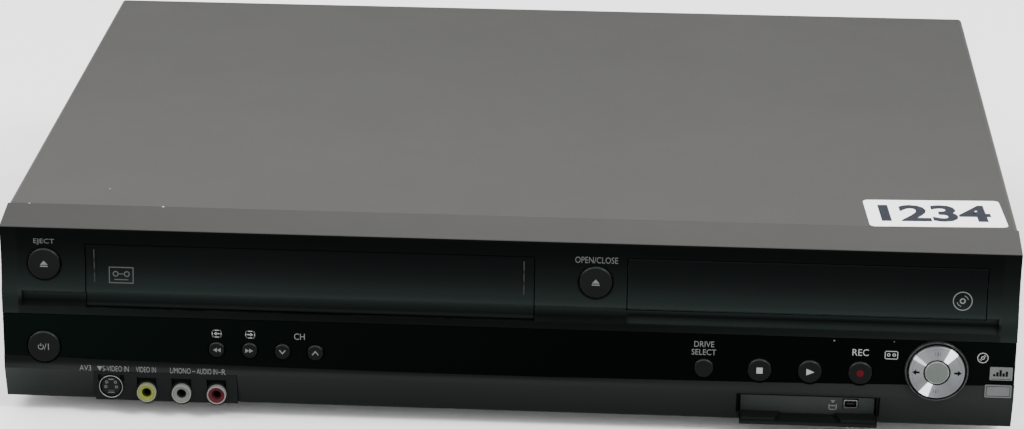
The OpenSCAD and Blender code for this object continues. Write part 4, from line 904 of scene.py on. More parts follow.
key_mark("rewind_button", [arrow(0.15, 1.0, -1.7), arrow(1.85, 1.0, -1.7)], "print_grey")
key_mark("forward_button", [arrow(-0.15, 1.0, 1.7), arrow(-1.85, 1.0, 1.7)], "print_grey")
key_mark("channel_down_button", strip([(-1.15, 0.65), (0, -0.75), (1.15, 0.65)], 0.5), "print_grey")
key_mark("channel_up_button", strip([(-1.15, -0.65), (0, 0.75), (1.15, -0.65)], 0.5), "print_grey")
key_mark("stop_button", [[(-1.3, -1.35), (1.3, -1.35), (1.3, 1.35), (-1.3, 1.35)]], "print_light")
key_mark("play_button", [[(-1.45, -1.5), (1.95, 0), (-1.45, 1.5)]], "print_light")
key_mark("record_button", [[(1.5 * math.cos(t * math.pi / 20), 1.5 * math.sin(t * math.pi / 20)) for t in range(40)]], "print_red")

# ---------------------------------------------------------------- selector

DX, DZ = 182.2, 33.6


def at_dial(bm):
    return put(bm, DX, 0, DZ)


bm = lathe(rounded([(8.2, -6), (9.0, -6), (9.0, -0.9), (11.5, -0.9), (11.5, 0.02), (13.5, 0.02), (13.5, 0.9), (13.25, 1.5), (12.9, 1.8), (12.6, 1.8), (12.35, 1.3),
                    (12.3, 0.25), (8.2, 0.25), (8.2, -6)], 0.12), 128)
bmesh.ops.remove_doubles(bm, verts=bm.verts, dist=1e-7)
lay = bm.faces.layers.float.new("edge")
for fc in bm.faces:
    if fc.calc_center_median().z * 1000 > 1.55:
        fc[lay] = 1.0
ob = new_object("dial_bezel_skin", at_dial(bm), "bezel_gloss", "case", 40)
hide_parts("dial_bezel")

# ring: slightly domed face with a turned groove near its rim
prof = [(5.6, 0.95), (11.1, 0.95), (11.7, 1.3)] + [(11.1 + 0.6 * math.cos(math.radians(a)), 2.2 + 0.6 * math.sin(math.radians(a))) for a in range(0, 91, 15)]
prof += [(10.6, 2.82), (10.5, 2.74), (10.3, 2.74), (10.2, 2.86), (9.0, 2.97), (7.6, 3.03), (6.6, 3.06), (6.0, 3.06), (5.7, 2.98), (5.6, 2.85), (5.6, 0.95)]
bm = lathe(prof, 144)
bmesh.ops.remove_doubles(bm, verts=bm.verts, dist=1e-7)
boss = lathe([(5.6, -3.4), (7.4, -3.4), (7.4, 0.96), (5.6, 0.96), (5.6, -3.4)], 64)
bmesh.ops.remove_doubles(boss, verts=boss.verts, dist=1e-7)
tmp = bpy.data.meshes.new("boss")
boss.to_mesh(tmp)
bm.from_mesh(tmp)
boss.free()
ob = new_object("dial_ring_skin", at_dial(bm), "ring_metal", "dial", 40)
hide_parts("dial_ring")

# fixed cap in the middle
prof = [(0, -14.95), (3.4, -14.95), (3.4, -1.5), (5.1, -1.5), (5.1, 2.7)] + [(4.6 + 0.5 * math.cos(math.radians(a)), 2.7 + 0.5 * math.sin(math.radians(a))) for a in range(15, 91, 15)]
prof += [(3.6, 3.27), (2.4, 3.34), (1.2, 3.38), (0, 3.4)]
bm = lathe(prof, 96)
# the cap's rounded rim is marked as edge: rubbed wear and a painted highlight
lay = bm.faces.layers.float.new("edge")
for fc in bm.faces:
    c = fc.calc_center_median()
    if math.hypot(c.x, c.y) > 0.0045 and c.z > 0.0027:
        fc[lay] = 1.0
ob = new_object("dial_cap_skin", at_dial(bm), "cap_plastic", "case", 40)
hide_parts("dial_cap")

# marks on the ring: an arrow each side, and fine ticks above and below
for s in (-1, 1):
    bm = flat_shape([[(s * 10.2, 0), (s * 8.7, -1.2), (s * 8.7, 1.2)], [(s * 8.75, -0.42), (s * 8.75, 0.42), (s * 7.2, 0.42), (s * 7.2, -0.42)]], 0.06)
    bmesh.ops.translate(bm, verts=bm.verts, vec=(0, 0, 0.00303))
    decal(at_dial(bm), "print_black", "dial", "dial_arrow")
ticks = []
for s in (-1, 1):
    for k, w in ((-1, 0.1), (0, 0.26), (1, 0.1)):
        a = math.radians(90 * s + 7 * k)
        ticks += strip([(7.8 * math.cos(a), 7.8 * math.sin(a)), (9.2 * math.cos(a), 9.2 * math.sin(a))], w)
bm = flat_shape(ticks, 0.05)
bmesh.ops.translate(bm, verts=bm.verts, vec=(0, 0, 0.00303))
decal(at_dial(bm), "print_black", "dial", "dial_ticks")

# ---------------------------------------------------------------- front sockets

JACKS = (("video_jack", -153.6, "jack_yellow"), ("audio_jack_left", -138.5, "jack_white"), ("audio_jack_right", -123.3, "jack_red"))


def phono(name, x, z, mat, face_y, back, face=FACE_FRONT, out=1.0, node=None, ring_r=4.15):
    """A phono jack: pale rim round a coloured insulator, with the centre contact inside its dark bore, which takes a
    darker copy of the jack's colour as painted shade.
    """
    s = lathe(rounded([(3.5, -back), (ring_r, -back), (ring_r, out - 0.4), (ring_r - 0.2, out - 0.05), (3.75, out), (3.5, out - 0.35), (3.5, -back)], 0.1), 72)
    bmesh.ops.remove_doubles(s, verts=s.verts, dist=1e-7)
    a = new_object(name + "_sleeve", put(s, x, face_y, z, face), mat.replace("jack", "rim"), "case", 40)
    i = lathe(rounded([(2.0, -9), (3.52, -9), (3.52, out - 0.5), (3.2, out - 0.42), (2.95, out - 0.7), (2.6, out - 0.62), (2.3, out - 0.75), (2.06, out - 1.15), (2.0, out - 1.5), (2.0, -9)], 0.1), 72)
    bmesh.ops.remove_doubles(i, verts=i.verts, dist=1e-7)
    b = new_object(name + "_insulator", put(i, x, face_y, z, face), mat, "case", 40)
    c = lathe(rounded([(1.45, -9), (2.02, -9), (2.02, out - 1.5), (1.75, out - 1.35), (1.5, out - 1.6), (1.4, out - 2.3), (1.45, -9)], 0.08), 48)
    bmesh.ops.remove_doubles(c, verts=c.verts, dist=1e-7)
    new_object(name + "_contact", put(c, x, face_y, z, face), mat.replace("jack", "bore"), "case", 40)
    c = lathe([(0, -9), (1.62, -9), (1.62, -8.2), (1.2, -7.6), (0, -7.6)], 48)
    new_object(name + "_floor", put(c, x, face_y, z, face), "black_parts_and_painted_shade", "case", 40)
    if node:
        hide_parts(node)
    return b


for node, x, mat in JACKS:
    phono(node, x, 11.7, mat, 0, 11.9, out=0.6, node=node)
    # dark collar behind the sleeve's front edge
    c = lathe(rounded([(4.2, -0.4), (5.1, -0.4), (5.1, 0.12), (4.9, 0.25), (4.35, 0.25), (4.2, 0.1), (4.2, -0.4)], 0.08), 72)
    bmesh.ops.remove_doubles(c, verts=c.verts, dist=1e-7)
    # the collar follows the sloping panel: tilt it about its own centre
    c.transform(Matrix.Rotation(math.radians(-10), 4, "X"))
    for v in c.verts:
        v.co.z += -0.0016
    new_object(node + "_collar", put(c, x, 0, 11.7), "panel_plastic", "case", 40)

for x in (-153.6, -138.5, -123.3):
    bm = bmesh.new()
    bm_box(bm, (x - 4.2, 3.2, 14.6), (x + 4.2, 3.6, 18.55))
    soften(bm, 0.1, 2)
    new_object("jack_pocket_%d" % round(-x), bm, "pocket_plastic", "case")

SX, SZ = -168.9, 14.3
s = lathe(rounded([(4.75, -12), (5.2, -12), (5.2, 0.15), (5.05, 0.4), (4.9, 0.4), (4.75, 0.15), (4.75, -12)], 0.08), 96)
bmesh.ops.remove_doubles(s, verts=s.verts, dist=1e-7)
ob = new_object("svideo_shell", put(s, SX, 0, SZ), "socket_metal", "case", 40)
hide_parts("svideo_socket")
s = lathe(rounded([(0, -6.1), (4.74, -6.1), (4.74, -5.2), (4.3, -5.2), (4.3, -0.45), (4.1, -0.25), (0, -0.25)], 0.1), 96)
new_object("svideo_insulator", put(s, SX, 0, SZ), "panel_plastic", "case", 40)
for k, (px, pz) in enumerate(((-2.3, -0.3), (2.3, -0.3), (-1.9, 1.9), (1.9, 1.9))):
    p = lathe([(0.42, -0.3), (0.68, -0.3), (0.68, -0.17), (0.42, -0.17), (0.42, -0.3)], 32)
    bmesh.ops.remove_doubles(p, verts=p.verts, dist=1e-7)
    p.transform(Matrix.Translation((px / 1000, pz / 1000, 0)))
    new_object("svideo_pin_%d" % k, put(p, SX, 0, SZ), "silver_dim", "case", 40)
    # dark disc in each pin hole: painted shade standing in for the hole's depth
    p = lathe([(0, -0.3), (0.43, -0.3), (0.43, -0.21), (0, -0.21)], 24)
    p.transform(Matrix.Translation((px / 1000, pz / 1000, 0)))
    new_object("svideo_hole_%d" % k, put(p, SX, 0, SZ), "black_parts_and_painted_shade", "case", 40)
bm = flat_shape([[(-1.3, -2.9), (1.3, -2.9), (1.3, -1.7), (-1.3, -1.7)]], 0.06)
bmesh.ops.translate(bm, verts=bm.verts, vec=(0, 0, -0.00025))
decal(put(bm, SX, 0, SZ), "black_parts_and_painted_shade", "case", "svideo_key")
bm = flat_shape(strip([(-1.3, -2.9), (1.3, -2.9)], 0.3) + strip([(-0.9, 3.2), (0.9, 3.2)], 0.5), 0.06)
bmesh.ops.translate(bm, verts=bm.verts, vec=(0, 0, -0.00023))
decal(put(bm, SX, 0, SZ), "silver_dim", "case", "svideo_key")

# ---------------------------------------------------------------- rear sockets

BACK, PANEL = 336.3, 334.0  # back edge of the cover and outer face of the rear panel
for mm, c in (("black", (0.011, 0.011, 0.0115)), ("green", (0.012, 0.075, 0.022)), ("blue", (0.012, 0.028, 0.13)), ("orange", (0.20, 0.062, 0.008))):
    M["jack_" + mm] = surface("jack_" + mm, c, rough=0.5, spec=0.06, var=0.1, var_scale=300, grain=1800, grain_bump=0.15)
    M["rim_" + mm] = surface("rim_" + mm, (0.16, 0.162, 0.158), rough=0.4, spec=0.1, var=0.1, var_scale=300, grain=1800, grain_bump=0.15)
    M["bore_" + mm] = surface("bore_" + mm, (0.005, 0.005, 0.005), rough=0.5, spec=0.04, grain=1800)


def rear_phono(name, x, z, mat):
    """A phono jack of the rear rows: bright sleeve, coloured insulator and a dark bore with its contact."""
    body, out, face_y = "case", 1.9, BACK
    a = lathe(rounded([(3.3, -1.2), (3.3, out), (3.75, out), (4.15, out - 0.4), (4.15, -1.8), (3.3, -1.8), (3.3, -1.2)], 0.1), 64)
    bmesh.ops.remove_doubles(a, verts=a.verts, dist=1e-7)
    new_object(name + "_sleeve", put(a, x, face_y, z, FACE_BACK), mat.replace("jack", "rim"), body, 40)
    w = lathe(rounded([(4.2, -1.75), (5.9, -1.75), (5.9, -1.35), (5.6, -1.1), (4.2, -1.1), (4.2, -1.75)], 0.1), 64)
    bmesh.ops.remove_doubles(w, verts=w.verts, dist=1e-7)
    new_object(name + "_collar", put(w, x, face_y, z, FACE_BACK), mat, body, 40)
    i = lathe(rounded([(1.6, -10), (3.32, -10), (3.32, out - 0.8), (2.9, out - 0.8), (2.2, out - 0.95), (1.75, out - 1.2), (1.6, out - 1.6), (1.6, -10)], 0.1), 64)
    bmesh.ops.remove_doubles(i, verts=i.verts, dist=1e-7)
    new_object(name + "_insulator", put(i, x, face_y, z, FACE_BACK), mat, body, 40)
    c = lathe(rounded([(1.42, -10), (1.62, -10), (1.62, out - 1.7), (1.5, out - 1.6), (1.42, out - 1.9), (1.42, -10)], 0.03), 40)
    bmesh.ops.remove_doubles(c, verts=c.verts, dist=1e-7)
    new_object(name + "_contact", put(c, x, face_y, z, FACE_BACK), "contact_gold", body, 40)
    c = lathe([(0, -10), (1.6, -10), (1.6, -9.4), (0, -9.2)], 32)
    new_object(name + "_floor", put(c, x, face_y, z, FACE_BACK), "black_parts_and_painted_shade", body, 40)


bm = bmesh.new()
for c in range(4):
    for z in (33, 59):
        x = -20 - 15 * c
        bm_box(bm, (x - 7.2, BACK - 22, z - 8.4), (x + 7.2, BACK - 1.8, z + 8.4))
soften(bm, 0.35, 2)
ob = new_object("rear_jack_blocks", bm, "inlet_plastic", "case")
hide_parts("rear_jacks")
COLOURS = {59: ("jack_yellow", "jack_white", "jack_red", "jack_orange"), 33: ("jack_yellow", "jack_white", "jack_red", "jack_black")}
for z, cols in COLOURS.items():
    for c, mat in enumerate(cols):
        rear_phono("rear_jack_%d_%d" % (z, c), -20 - 15 * c, z, mat)

# aerial block: a folded steel can with two coaxial sockets
bm = bmesh.new()
bm_box(bm, (-124, BACK - 40, 24), (-96, BACK - 3.6, 68))
for z in (33, 59):
    bm_box(bm, (-121, BACK - 34, z - 5), (-99, BACK - 33, z + 5))
soften(bm, 0.4, 2)
new_object("aerial_can", bm, "socket_metal", "case")
for k, z in enumerate((33, 59)):
    t = lathe(rounded([(4.7, -8), (4.7, 2.0), (5.55, 2.0), (5.9, 1.6), (5.9, 1.0), (5.6, 0.8), (5.9, 0.6), (5.9, 0.0), (5.6, -0.2), (5.9, -0.4), (5.9, -2.0), (6.15, -2.1), (6.15, -3.4), (4.7, -3.4), (4.7, -8)], 0.06), 64)
    bmesh.ops.remove_doubles(t, verts=t.verts, dist=1e-7)
    new_object("aerial_sleeve_%d" % k, put(t, -110, BACK, z, FACE_BACK), "socket_metal", "case", 40)
    t = lathe(rounded([(0, -8.9), (4.68, -8.9), (4.68, -5.0), (4.2, -4.7), (2.4, -4.7), (2.2, -5.2), (0, -5.2)], 0.1), 64)
    new_object("aerial_insulator_%d" % k, put(t, -110, BACK, z, FACE_BACK), "reel_plastic", "case", 40)
    if k:
        t = lathe(rounded([(0, -6), (1.2, -6), (1.2, -0.6), (0.7, 0.3), (0, 0.45)], 0.1), 40)
    else:
        t = lathe(rounded([(1.15, -6), (1.75, -6), (1.75, 0.2), (1.6, 0.4), (1.3, 0.4), (1.15, 0.1), (1.15, -6)], 0.06), 40)
        bmesh.ops.remove_doubles(t, verts=t.verts, dist=1e-7)
    new_object("aerial_pin_%d" % k, put(t, -110, BACK, z, FACE_BACK), "shaft_steel", "case", 40)

# two pins of the mains inlet
for k, dx in enumerate((-4.3, 4.3)):
    t = lathe(rounded([(0, -13), (1.2, -13), (1.2, -5.0), (0.7, -4.2), (0, -4.0)], 0.15), 40)
    new_object("inlet_pin_%d" % k, put(t, 178 + dx, PANEL, 30, FACE_BACK), "shaft_steel", "case", 40)

# contacts and steel lining of the 21-pin sockets
gold, lining = bmesh.new(), []
for z0 in (31, 63):
    for i in range(10):
        for r in (-1, 1):
            x = 44 - 18.5 + 4 * i + (0 if r > 0 else -1)
            bm_box(gold, (x - 0.3, PANEL - 8.5, z0 + 2 * r - 0.28), (x + 0.3, PANEL + 3.3, z0 + 2 * r + 0.28))
soften(gold, 0.08, 1)
new_object("socket_contacts", gold, "contact_gold", "case")
for k, z0 in enumerate((31, 63)):
    ring = [(-23.4, -5.8), (23.4, -5.8), (23.4, 2.5), (20.2, 5.8), (-23.4, 5.8), (-23.4, -5.8)]
    bm = flat_shape(strip([(-x, y) for x, y in ring], 0.5), 12.0)
    put(bm, 44, PANEL - 8.4, z0, FACE_BACK)
    new_object("socket_lining_%d" % k, bm, "socket_metal", "case")


def rear_label(words, x, z, h=2.2, w=None, mat="print_light"):
    bm = text_bm(words, width=w, height=h, bold=0.006, thick=0.04)
    return decal(put(bm, x, PANEL + 0.01, z, FACE_BACK), mat, "case", "rear_label")


def rear_lines(points, w=0.3):
    return decal(put(flat_shape(strip(points, w), 0.04), 0, PANEL + 0.01, 0, FACE_BACK), "print_light", "case", "rear_line")


for words, x in (("VIDEO", -20), ("AUDIO L", -35), ("AUDIO R", -50), ("DIGITAL", -65)):
    rear_label(words, x, 70.6, 1.9)
for words, x in (("VIDEO", -20), ("AUDIO L", -35), ("AUDIO R", -50), ("COAXIAL", -65)):
    rear_label(words, x, 21.6, 1.9)
rear_label("OUT", -42.5, 46.0, 2.4)
rear_lines([(15.0, 46.0), (38.0, 46.0)])
rear_lines([(47.0, 46.0), (71.0, 46.0)])
rear_label("AERIAL IN", -110, 69.0, 2.2)
rear_label("AERIAL OUT", -110, 43.3, 2.2)
rear_label("1", 79.5, 31, 3.4)
rear_label("2", 79.5, 63, 3.4)
rear_label("TV", 44, 43.3, 2.4)
rear_label("DECODER", 44, 75.5, 2.4)
rear_label("AC IN", 178, 43.2, 2.4)
for a, b in (((-76.6, 17.5), (-9.0, 74.5)), ((15.2, 17.5), (83.0, 79.0)), ((127.5, 17.0), (92.5, 74.5))):
    x0, x1 = -a[0] if a[0] < 100 else a[0], -b[0] if a[0] < 100 else b[0]
    rear_lines([(x0, a[1]), (x1, a[1]), (x1, b[1]), (x0, b[1]), (x0, a[1])])

# ---------------------------------------------------------------- boards


def painted(node, width, rules, seg=1):
    """A board with its parts coloured by where they stand; rules test a face's centre in mm."""
    ob = stand_in(node, width, seg)
    me = ob.data
    for m, test in rules:
        me.materials.append(M[m])
        k = len(me.materials) - 1
        for p in me.polygons:
            c = p.center * 1000
            if test(c.x, c.y + MID, c.z):
                p.material_index = k
    return ob


def near(x, y, px, py, r):
    return math.hypot(x - px, y - py) < r


M["winding"] = surface("winding", (0.32, 0.22, 0.04), rough=0.4, spec=0.3, var=0.15, var_scale=90, grain=500, grain_bump=0.25, stretch=(1, 1, 8), edge=(0.4, 0.3, 0.1))
M["core_steel"] = surface("core_steel", (0.05, 0.05, 0.053), rough=0.5, metal=0.4, var=0.15, var_scale=60, grain=420, grain_bump=0.6, grain_dist=0.0002, stretch=(0.05, 0.05, 9), edge=(0.2, 0.2, 0.2))
M["solder"] = surface("solder", (0.45, 0.46, 0.47), rough=0.3, metal=1.0, var=0.1, var_scale=500, grain=1500, grain_bump=0.1)
M["trace_green"] = surface("trace_green", (0.02, 0.15, 0.05), rough=0.35, spec=0.4, var=0.1, var_scale=200, grain=1500, grain_bump=0.1)
M["trace_brown"] = surface("trace_brown", (0.30, 0.20, 0.09), rough=0.45, spec=0.3, var=0.1, var_scale=200, grain=1500, grain_bump=0.1)

painted("main_board", 0.12, [
    ("black_parts_and_painted_shade", lambda x, y, z: z > 19.7 and 225 < y < 305 and not (136 < y < 0)),
    ("heat_sink", lambda x, y, z: z > 21.85 and 125 < x < 155 and 248 < y < 276),
    ("can_blue", lambda x, y, z: z > 19.7 and y < 220 and min(abs(x - 56 - 9 * i) for i in range(6)) < 3.3 and near(x, y, 56 + 9 * round((x - 56) / 9), 216, 3.3)),
    ("solder", lambda x, y, z: z > 27.8 and y < 220),
    ("reel_plastic", lambda x, y, z: z > 19.7 and 207.5 < y < 211.6 and 59 < x < 111)])
painted("power_board", 0.15, [
    ("core_steel", lambda x, y, z: z > 19.7 and abs(x + 120) < 18 and abs(y - 268) < 16),
    ("winding", lambda x, y, z: 25.3 < z < 43.4 and abs(x + 120) < 12.6 and abs(y - 268) < 17.6),
    ("can_blue", lambda x, y, z: z > 19.7 and (near(x, y, -170, 270, 11.3) or near(x, y, -148, 258, 6.3))),
    ("black_parts_and_painted_shade", lambda x, y, z: z > 19.7 and x > -96 and any(near(x, y, -90 + 8 * (i % 2) * 2, 256 + 14 * i, 5.3) for i in range(4))),
    ("solder", lambda x, y, z: (z > 51.8 and near(x, y, -170, 270, 9.6)) or (z > 39.8 and near(x, y, -148, 258, 5.0)) or (33.8 < z < 34.3 and any(near(x, y, -90 + 8 * (i % 2) * 2, 256 + 14 * i, 4.2) for i in range(4)))),
    ("heat_sink", lambda x, y, z: z > 19.7 and y > 295 and (-191 < x < -180 or -153 < x < -142))])
painted("button_board", 0.12, [
    ("black_parts_and_painted_shade", lambda x, y, z: 11.9 < y < 14.9),
    ("reel_plastic", lambda x, y, z: y < 12.03)])


def spread(seed, n, x0, x1, y0, y1):
    """A fixed, uneven scatter of points over a board."""
    v, out = seed, []
    for _ in range(n):
        v = (v * 1103515245 + 12345) % 2147483648
        a = v / 2147483648
        v = (v * 1103515245 + 12345) % 2147483648
        out.append((x0 + a * (x1 - x0), y0 + v / 2147483648 * (y1 - y0), int(a * 997) % 4))
    return out


def keep_off(x, y, blocks, gap=1.6):
    return all(abs(x - bx) > bw / 2 + gap or abs(y - by) > bd / 2 + gap for bx, by, bw, bd in blocks)


MB = [(140, 262, 30, 30), (100, 236, 18, 12), (100, 290, 22, 10), (70, 256, 14, 14), (180, 236, 20, 8), (80, 216, 60, 9), (85, 209.5, 52, 5), (128, 326, 52, 28)]
PB = [(-120, 268, 36, 36), (-170, 270, 24, 24), (-148, 258, 13, 13), (-86, 277, 30, 56), (-185, 309, 16, 30), (-147, 309, 16, 30)]
small, pads, ends = bmesh.new(), bmesh.new(), bmesh.new()
for x, y, k in spread(7, 150, 38, 202, 222, 326):
    if not keep_off(x, y, MB):
        continue
    a, b = ((1.6, 0.8), (0.8, 1.6), (2.4, 1.2), (1.2, 2.4))[k]
    bm_box(small, (x - a / 2, y - b / 2, 19.58), (x + a / 2, y + b / 2, 20.2))
    if a > b:
        bm_box(ends, (x - a / 2 - 0.25, y - b / 2, 19.58), (x - a / 2 + 0.02, y + b / 2, 20.1))
        bm_box(ends, (x + a / 2 - 0.02, y - b / 2, 19.58), (x + a / 2 + 0.25, y + b / 2, 20.1))
    else:
        bm_box(ends, (x - a / 2, y - b / 2 - 0.25, 19.58), (x + a / 2, y - b / 2 + 0.02, 20.1))
        bm_box(ends, (x - a / 2, y + b / 2 - 0.02, 19.58), (x + a / 2, y + b / 2 + 0.25, 20.1))
# legs of the chips
for cx, cy, w, d, sides in ((140, 262, 28, 28, 4), (100, 236, 18, 12, 2), (100, 290, 22, 10, 2), (70, 256, 14, 14, 4), (180, 236, 20, 8, 2)):
    n = int(w / 1.4)
    for i in range(n):
        x = cx - w / 2 + 1.4 * (i + 0.5) + (w - 1.4 * n) / 2
        for sgn in (-1, 1):
            y = cy + sgn * (d / 2 + 0.55)
            bm_box(ends, (x - 0.3, y - 0.6, 19.58), (x + 0.3, y + 0.6, 19.95))
    if sides == 4:
        n = int(d / 1.4)
        for i in range(n):
            y = cy - d / 2 + 1.4 * (i + 0.5) + (d - 1.4 * n) / 2
            for sgn in (-1, 1):
                x = cx + sgn * (w / 2 + 0.55)
                bm_box(ends, (x - 0.6, y - 0.3, 19.58), (x + 0.6, y + 0.3, 19.95))
new_object("small_parts", small, "black_parts_and_painted_shade", "case")
new_object("solder_ends", ends, "solder", "case")


def traces(name, seed, n, box, blocks, z, mat):
    lines = []
    for x, y, k in spread(seed, n, box[0], box[1], box[2], box[3]):
        dx, dy = ((14, 5), (-12, 8), (10, -9), (-8, -12))[k]
        path = [(x, y), (x + dx * 0.6, y), (x + dx, y + dy * 0.4), (x + dx, y + dy)]
        if all(box[0] < px < box[1] and box[2] < py < box[3] and keep_off(px, py, blocks, 0.4) for px, py in path):
            lines += strip(path, 0.45)
    bm = flat_shape(lines, 0.03)
    bm.transform(Matrix.Translation(V(0, 0, z)))
    new_object(name, bm, mat, "case")


# flat_shape lies in x, y; shift from the fascia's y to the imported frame's through V
traces("main_traces", 11, 150, (38, 202, 222, 326), MB, 19.59, "trace_green")
traces("power_traces", 23, 60, (-200, -66, 246, 326), PB, 19.59, "trace_brown")

# ---------------------------------------------------------------- printed marks


def fascia_y(z):
    return lerp_profile(FASCIA, z)


def label_on(words, x0, x1, z0, z1, surf, mat="print_grey", height=None, bold=0.0, body="case", tag="label", sink=0.01):
    bm = text_bm(words, width=(x1 - x0), height=height or (z1 - z0), bold=bold, thick=0.04)
    bm.transform(Matrix.Translation(V((x0 + x1) / 2, 0, (z0 + z1) / 2)) @ FACE_FRONT)
    lay_on(bm, surf, sink)
    return decal(bm, mat, body, tag)


label_on("EJECT", -200.6, -191.7, 77.9, 80.8, fascia_y, "print_mid")
label_on("OPEN/CLOSE", 29.5, 47.5, 76.7, 79.6, fascia_y, "print_mid")

WINDOW = lambda z: 0.0
LOWER = lambda z: 0.0


def icon_arrow_box(x, z, way):
    """Rounded frame with a small arrow inside."""
    frame_line = []
    for cx, cy, a0 in ((1.25, 0.8, 0), (-1.25, 0.8, 90), (-1.25, -0.8, 180), (1.25, -0.8, 270)):
        frame_line += [(cx + 0.95 * math.cos(math.radians(a0 + a)), cy + 0.95 * math.sin(math.radians(a0 + a))) for a in (0, 30, 60, 90)]
    o = strip(frame_line + frame_line[:1], 0.42)
    o += strip([(-1.15 * way, 0), (0.2 * way, 0)], 0.55)
    o += [[(0.1 * way, -0.95), (1.4 * way, 0), (0.1 * way, 0.95)]]
    bm = flat_shape([[(a * 0.86, b * 0.88) for a, b in q] for q in o], 0.04)
    return decal(put(bm, x, 0.0, z), "print_light", "case", "icon")


icon_arrow_box(-122.7, 40.2, -1)
icon_arrow_box(-108.3, 40.2, 1)
label_on("CH", -89.5, -84.9, 38.5, 41.4, WINDOW, "print_grey")
label_on("DRIVE", 80.4, 88.8, 40.9, 43.5, WINDOW, "print_grey")
label_on("SELECT", 79.4, 89.7, 37.3, 39.9, WINDOW, "print_grey")
label_on("REC", 146.8, 153.6, 39.1, 42.1, WINDOW, "print_light")

# cassette and disc signs either side of the selector
cas = strip([(-2.6, -1.7), (2.6, -1.7), (2.6, 1.7), (-2.6, 1.7), (-2.6, -1.7)], 0.36)
cas += ring_shape(0.4, 0.75, 0, 360, 20, -1.15, 0.1) + ring_shape(0.4, 0.75, 0, 360, 20, 1.15, 0.1)
decal(put(flat_shape(cas, 0.04), 163.1, 0.0, 39.8), "print_light", "case", "icon")
dsc = ring_shape(2.0, 2.35, 0, 360, 36) + ring_shape(0.45, 0.8, 0, 360, 24) + ring_shape(1.2, 1.45, 20, 70, 8) + ring_shape(1.2, 1.45, 200, 250, 8)
decal(put(flat_shape(dsc, 0.04), 201.2, 0.0, 39.8), "print_light", "case", "icon")

# names of the front sockets, printed on the edge of the window
for words, x0, x1 in (("AV3", -182.4, -177.3), ("S-VIDEO IN", -172.3, -161.0), ("VIDEO IN", -157.9, -149.2), ("L/MONO", -143.1, -134.2), ("AUDIO IN", -131.6, -122.7), ("R", -120.8, -119.1)):
    label_on(words, x0, x1, 20.75 + 1.0, 23.35, lambda z: 0.0, "print_grey", height=2.55)
for x in (-132.95, -121.75):
    decal(put(flat_shape(strip([(-0.55, 0), (0.55, 0)], 0.28), 0.04), x, 0.0, 22.4), "print_grey", "case", "icon")
decal(put(flat_shape([[(-1.2, 1.05), (1.2, 1.05), (0, -1.15)]], 0.04), -173.6, 0.0, 22.5), "print_grey", "case", "icon")

# plain cassette outline on the door, and a plain disc on the tray's front
big = strip([(-5.1, -3.4), (5.1, -3.4), (5.1, 3.4), (-5.1, 3.4), (-5.1, -3.4)], 0.45)
big += ring_shape(0.8, 1.3, 0, 360, 28, -2.4, 0.5) + ring_shape(0.8, 1.3, 0, 360, 28, 2.4, 0.5) + strip([(-1.0, 0.5), (1.0, 0.5)], 0.4) + strip([(-2.8, -2.0), (2.8, -2.0)], 0.4)
bm = flat_shape(big, 0.04)
bm.transform(Matrix.Translation(V(-163.4, 0, 65.0)) @ FACE_FRONT)
lay_on(bm, lambda z: lerp_profile(DOOR, z), 0.01)
decal(bm, "print_dim", "door", "door_sign")
dd = ring_shape(3.7, 4.1, 0, 360, 56) + ring_shape(0.7, 1.25, 0, 360, 32) + ring_shape(2.2, 2.5, 15, 75, 12) + ring_shape(2.2, 2.5, 195, 255, 12)
bm = flat_shape(dd, 0.04)
bm.transform(Matrix.Translation(V(191.5, 0, 64.6)) @ FACE_FRONT)
lay_on(bm, lambda z: lerp_profile(TRAY, z), 0.01)
decal(bm, "print_grey", "tray", "tray_sign")

# small socket sign beside the flap's recess, on the sloping lower edge
o = strip([(-1.5, 0.1), (-1.5, -2.0), (1.5, -2.0), (1.5, 0.1)], 0.5) + [[(-1.0, 2.2), (1.0, 2.2), (0, 0.9)]] + strip([(-0.7, -0.3), (0.7, -0.3)], 0.5)
bm = flat_shape(o, 0.04)
bm.transform(Matrix.Translation(V(140.0, 0, 13.2)) @ FACE_FRONT)
lay_on(bm, lambda z: 7.4, -0.01)
decal(bm, "print_light", "case", "icon")

# a thin upright rib near each end of the door, in a lighter colour as a painted highlight
for x in (-174.85, 8.05):
    rib = [[(-0.3, a), (0.3, a), (0.3, b), (-0.3, b)] for a, b in ((60.3 + 1.62 * k, 60.3 + 1.62 * (k + 1)) for k in range(10))]
    bm = flat_shape(rib, 0.12)
    bmesh.ops.remove_doubles(bm, verts=bm.verts, dist=1e-6)
    bm.transform(Matrix.Translation(V(x, 0, 0)) @ FACE_FRONT)
    lay_on(bm, lambda z: 1.4, 0.04)
    decal(bm, "rib_painted_highlight", "door", "door_rib")

# plain level bars on the upper plate
o = [[(-3.4 + 1.3 * k, -1.3), (-2.4 + 1.3 * k, -1.3), (-2.4 + 1.3 * k, -1.3 + h), (-3.4 + 1.3 * k, -1.3 + h)] for k, h in enumerate((1.0, 1.9, 2.9, 1.5, 2.3))]
decal(put(flat_shape(o, 0.03), 209.2, -0.41, 33.1), "print_black", "case", "plate_bars")

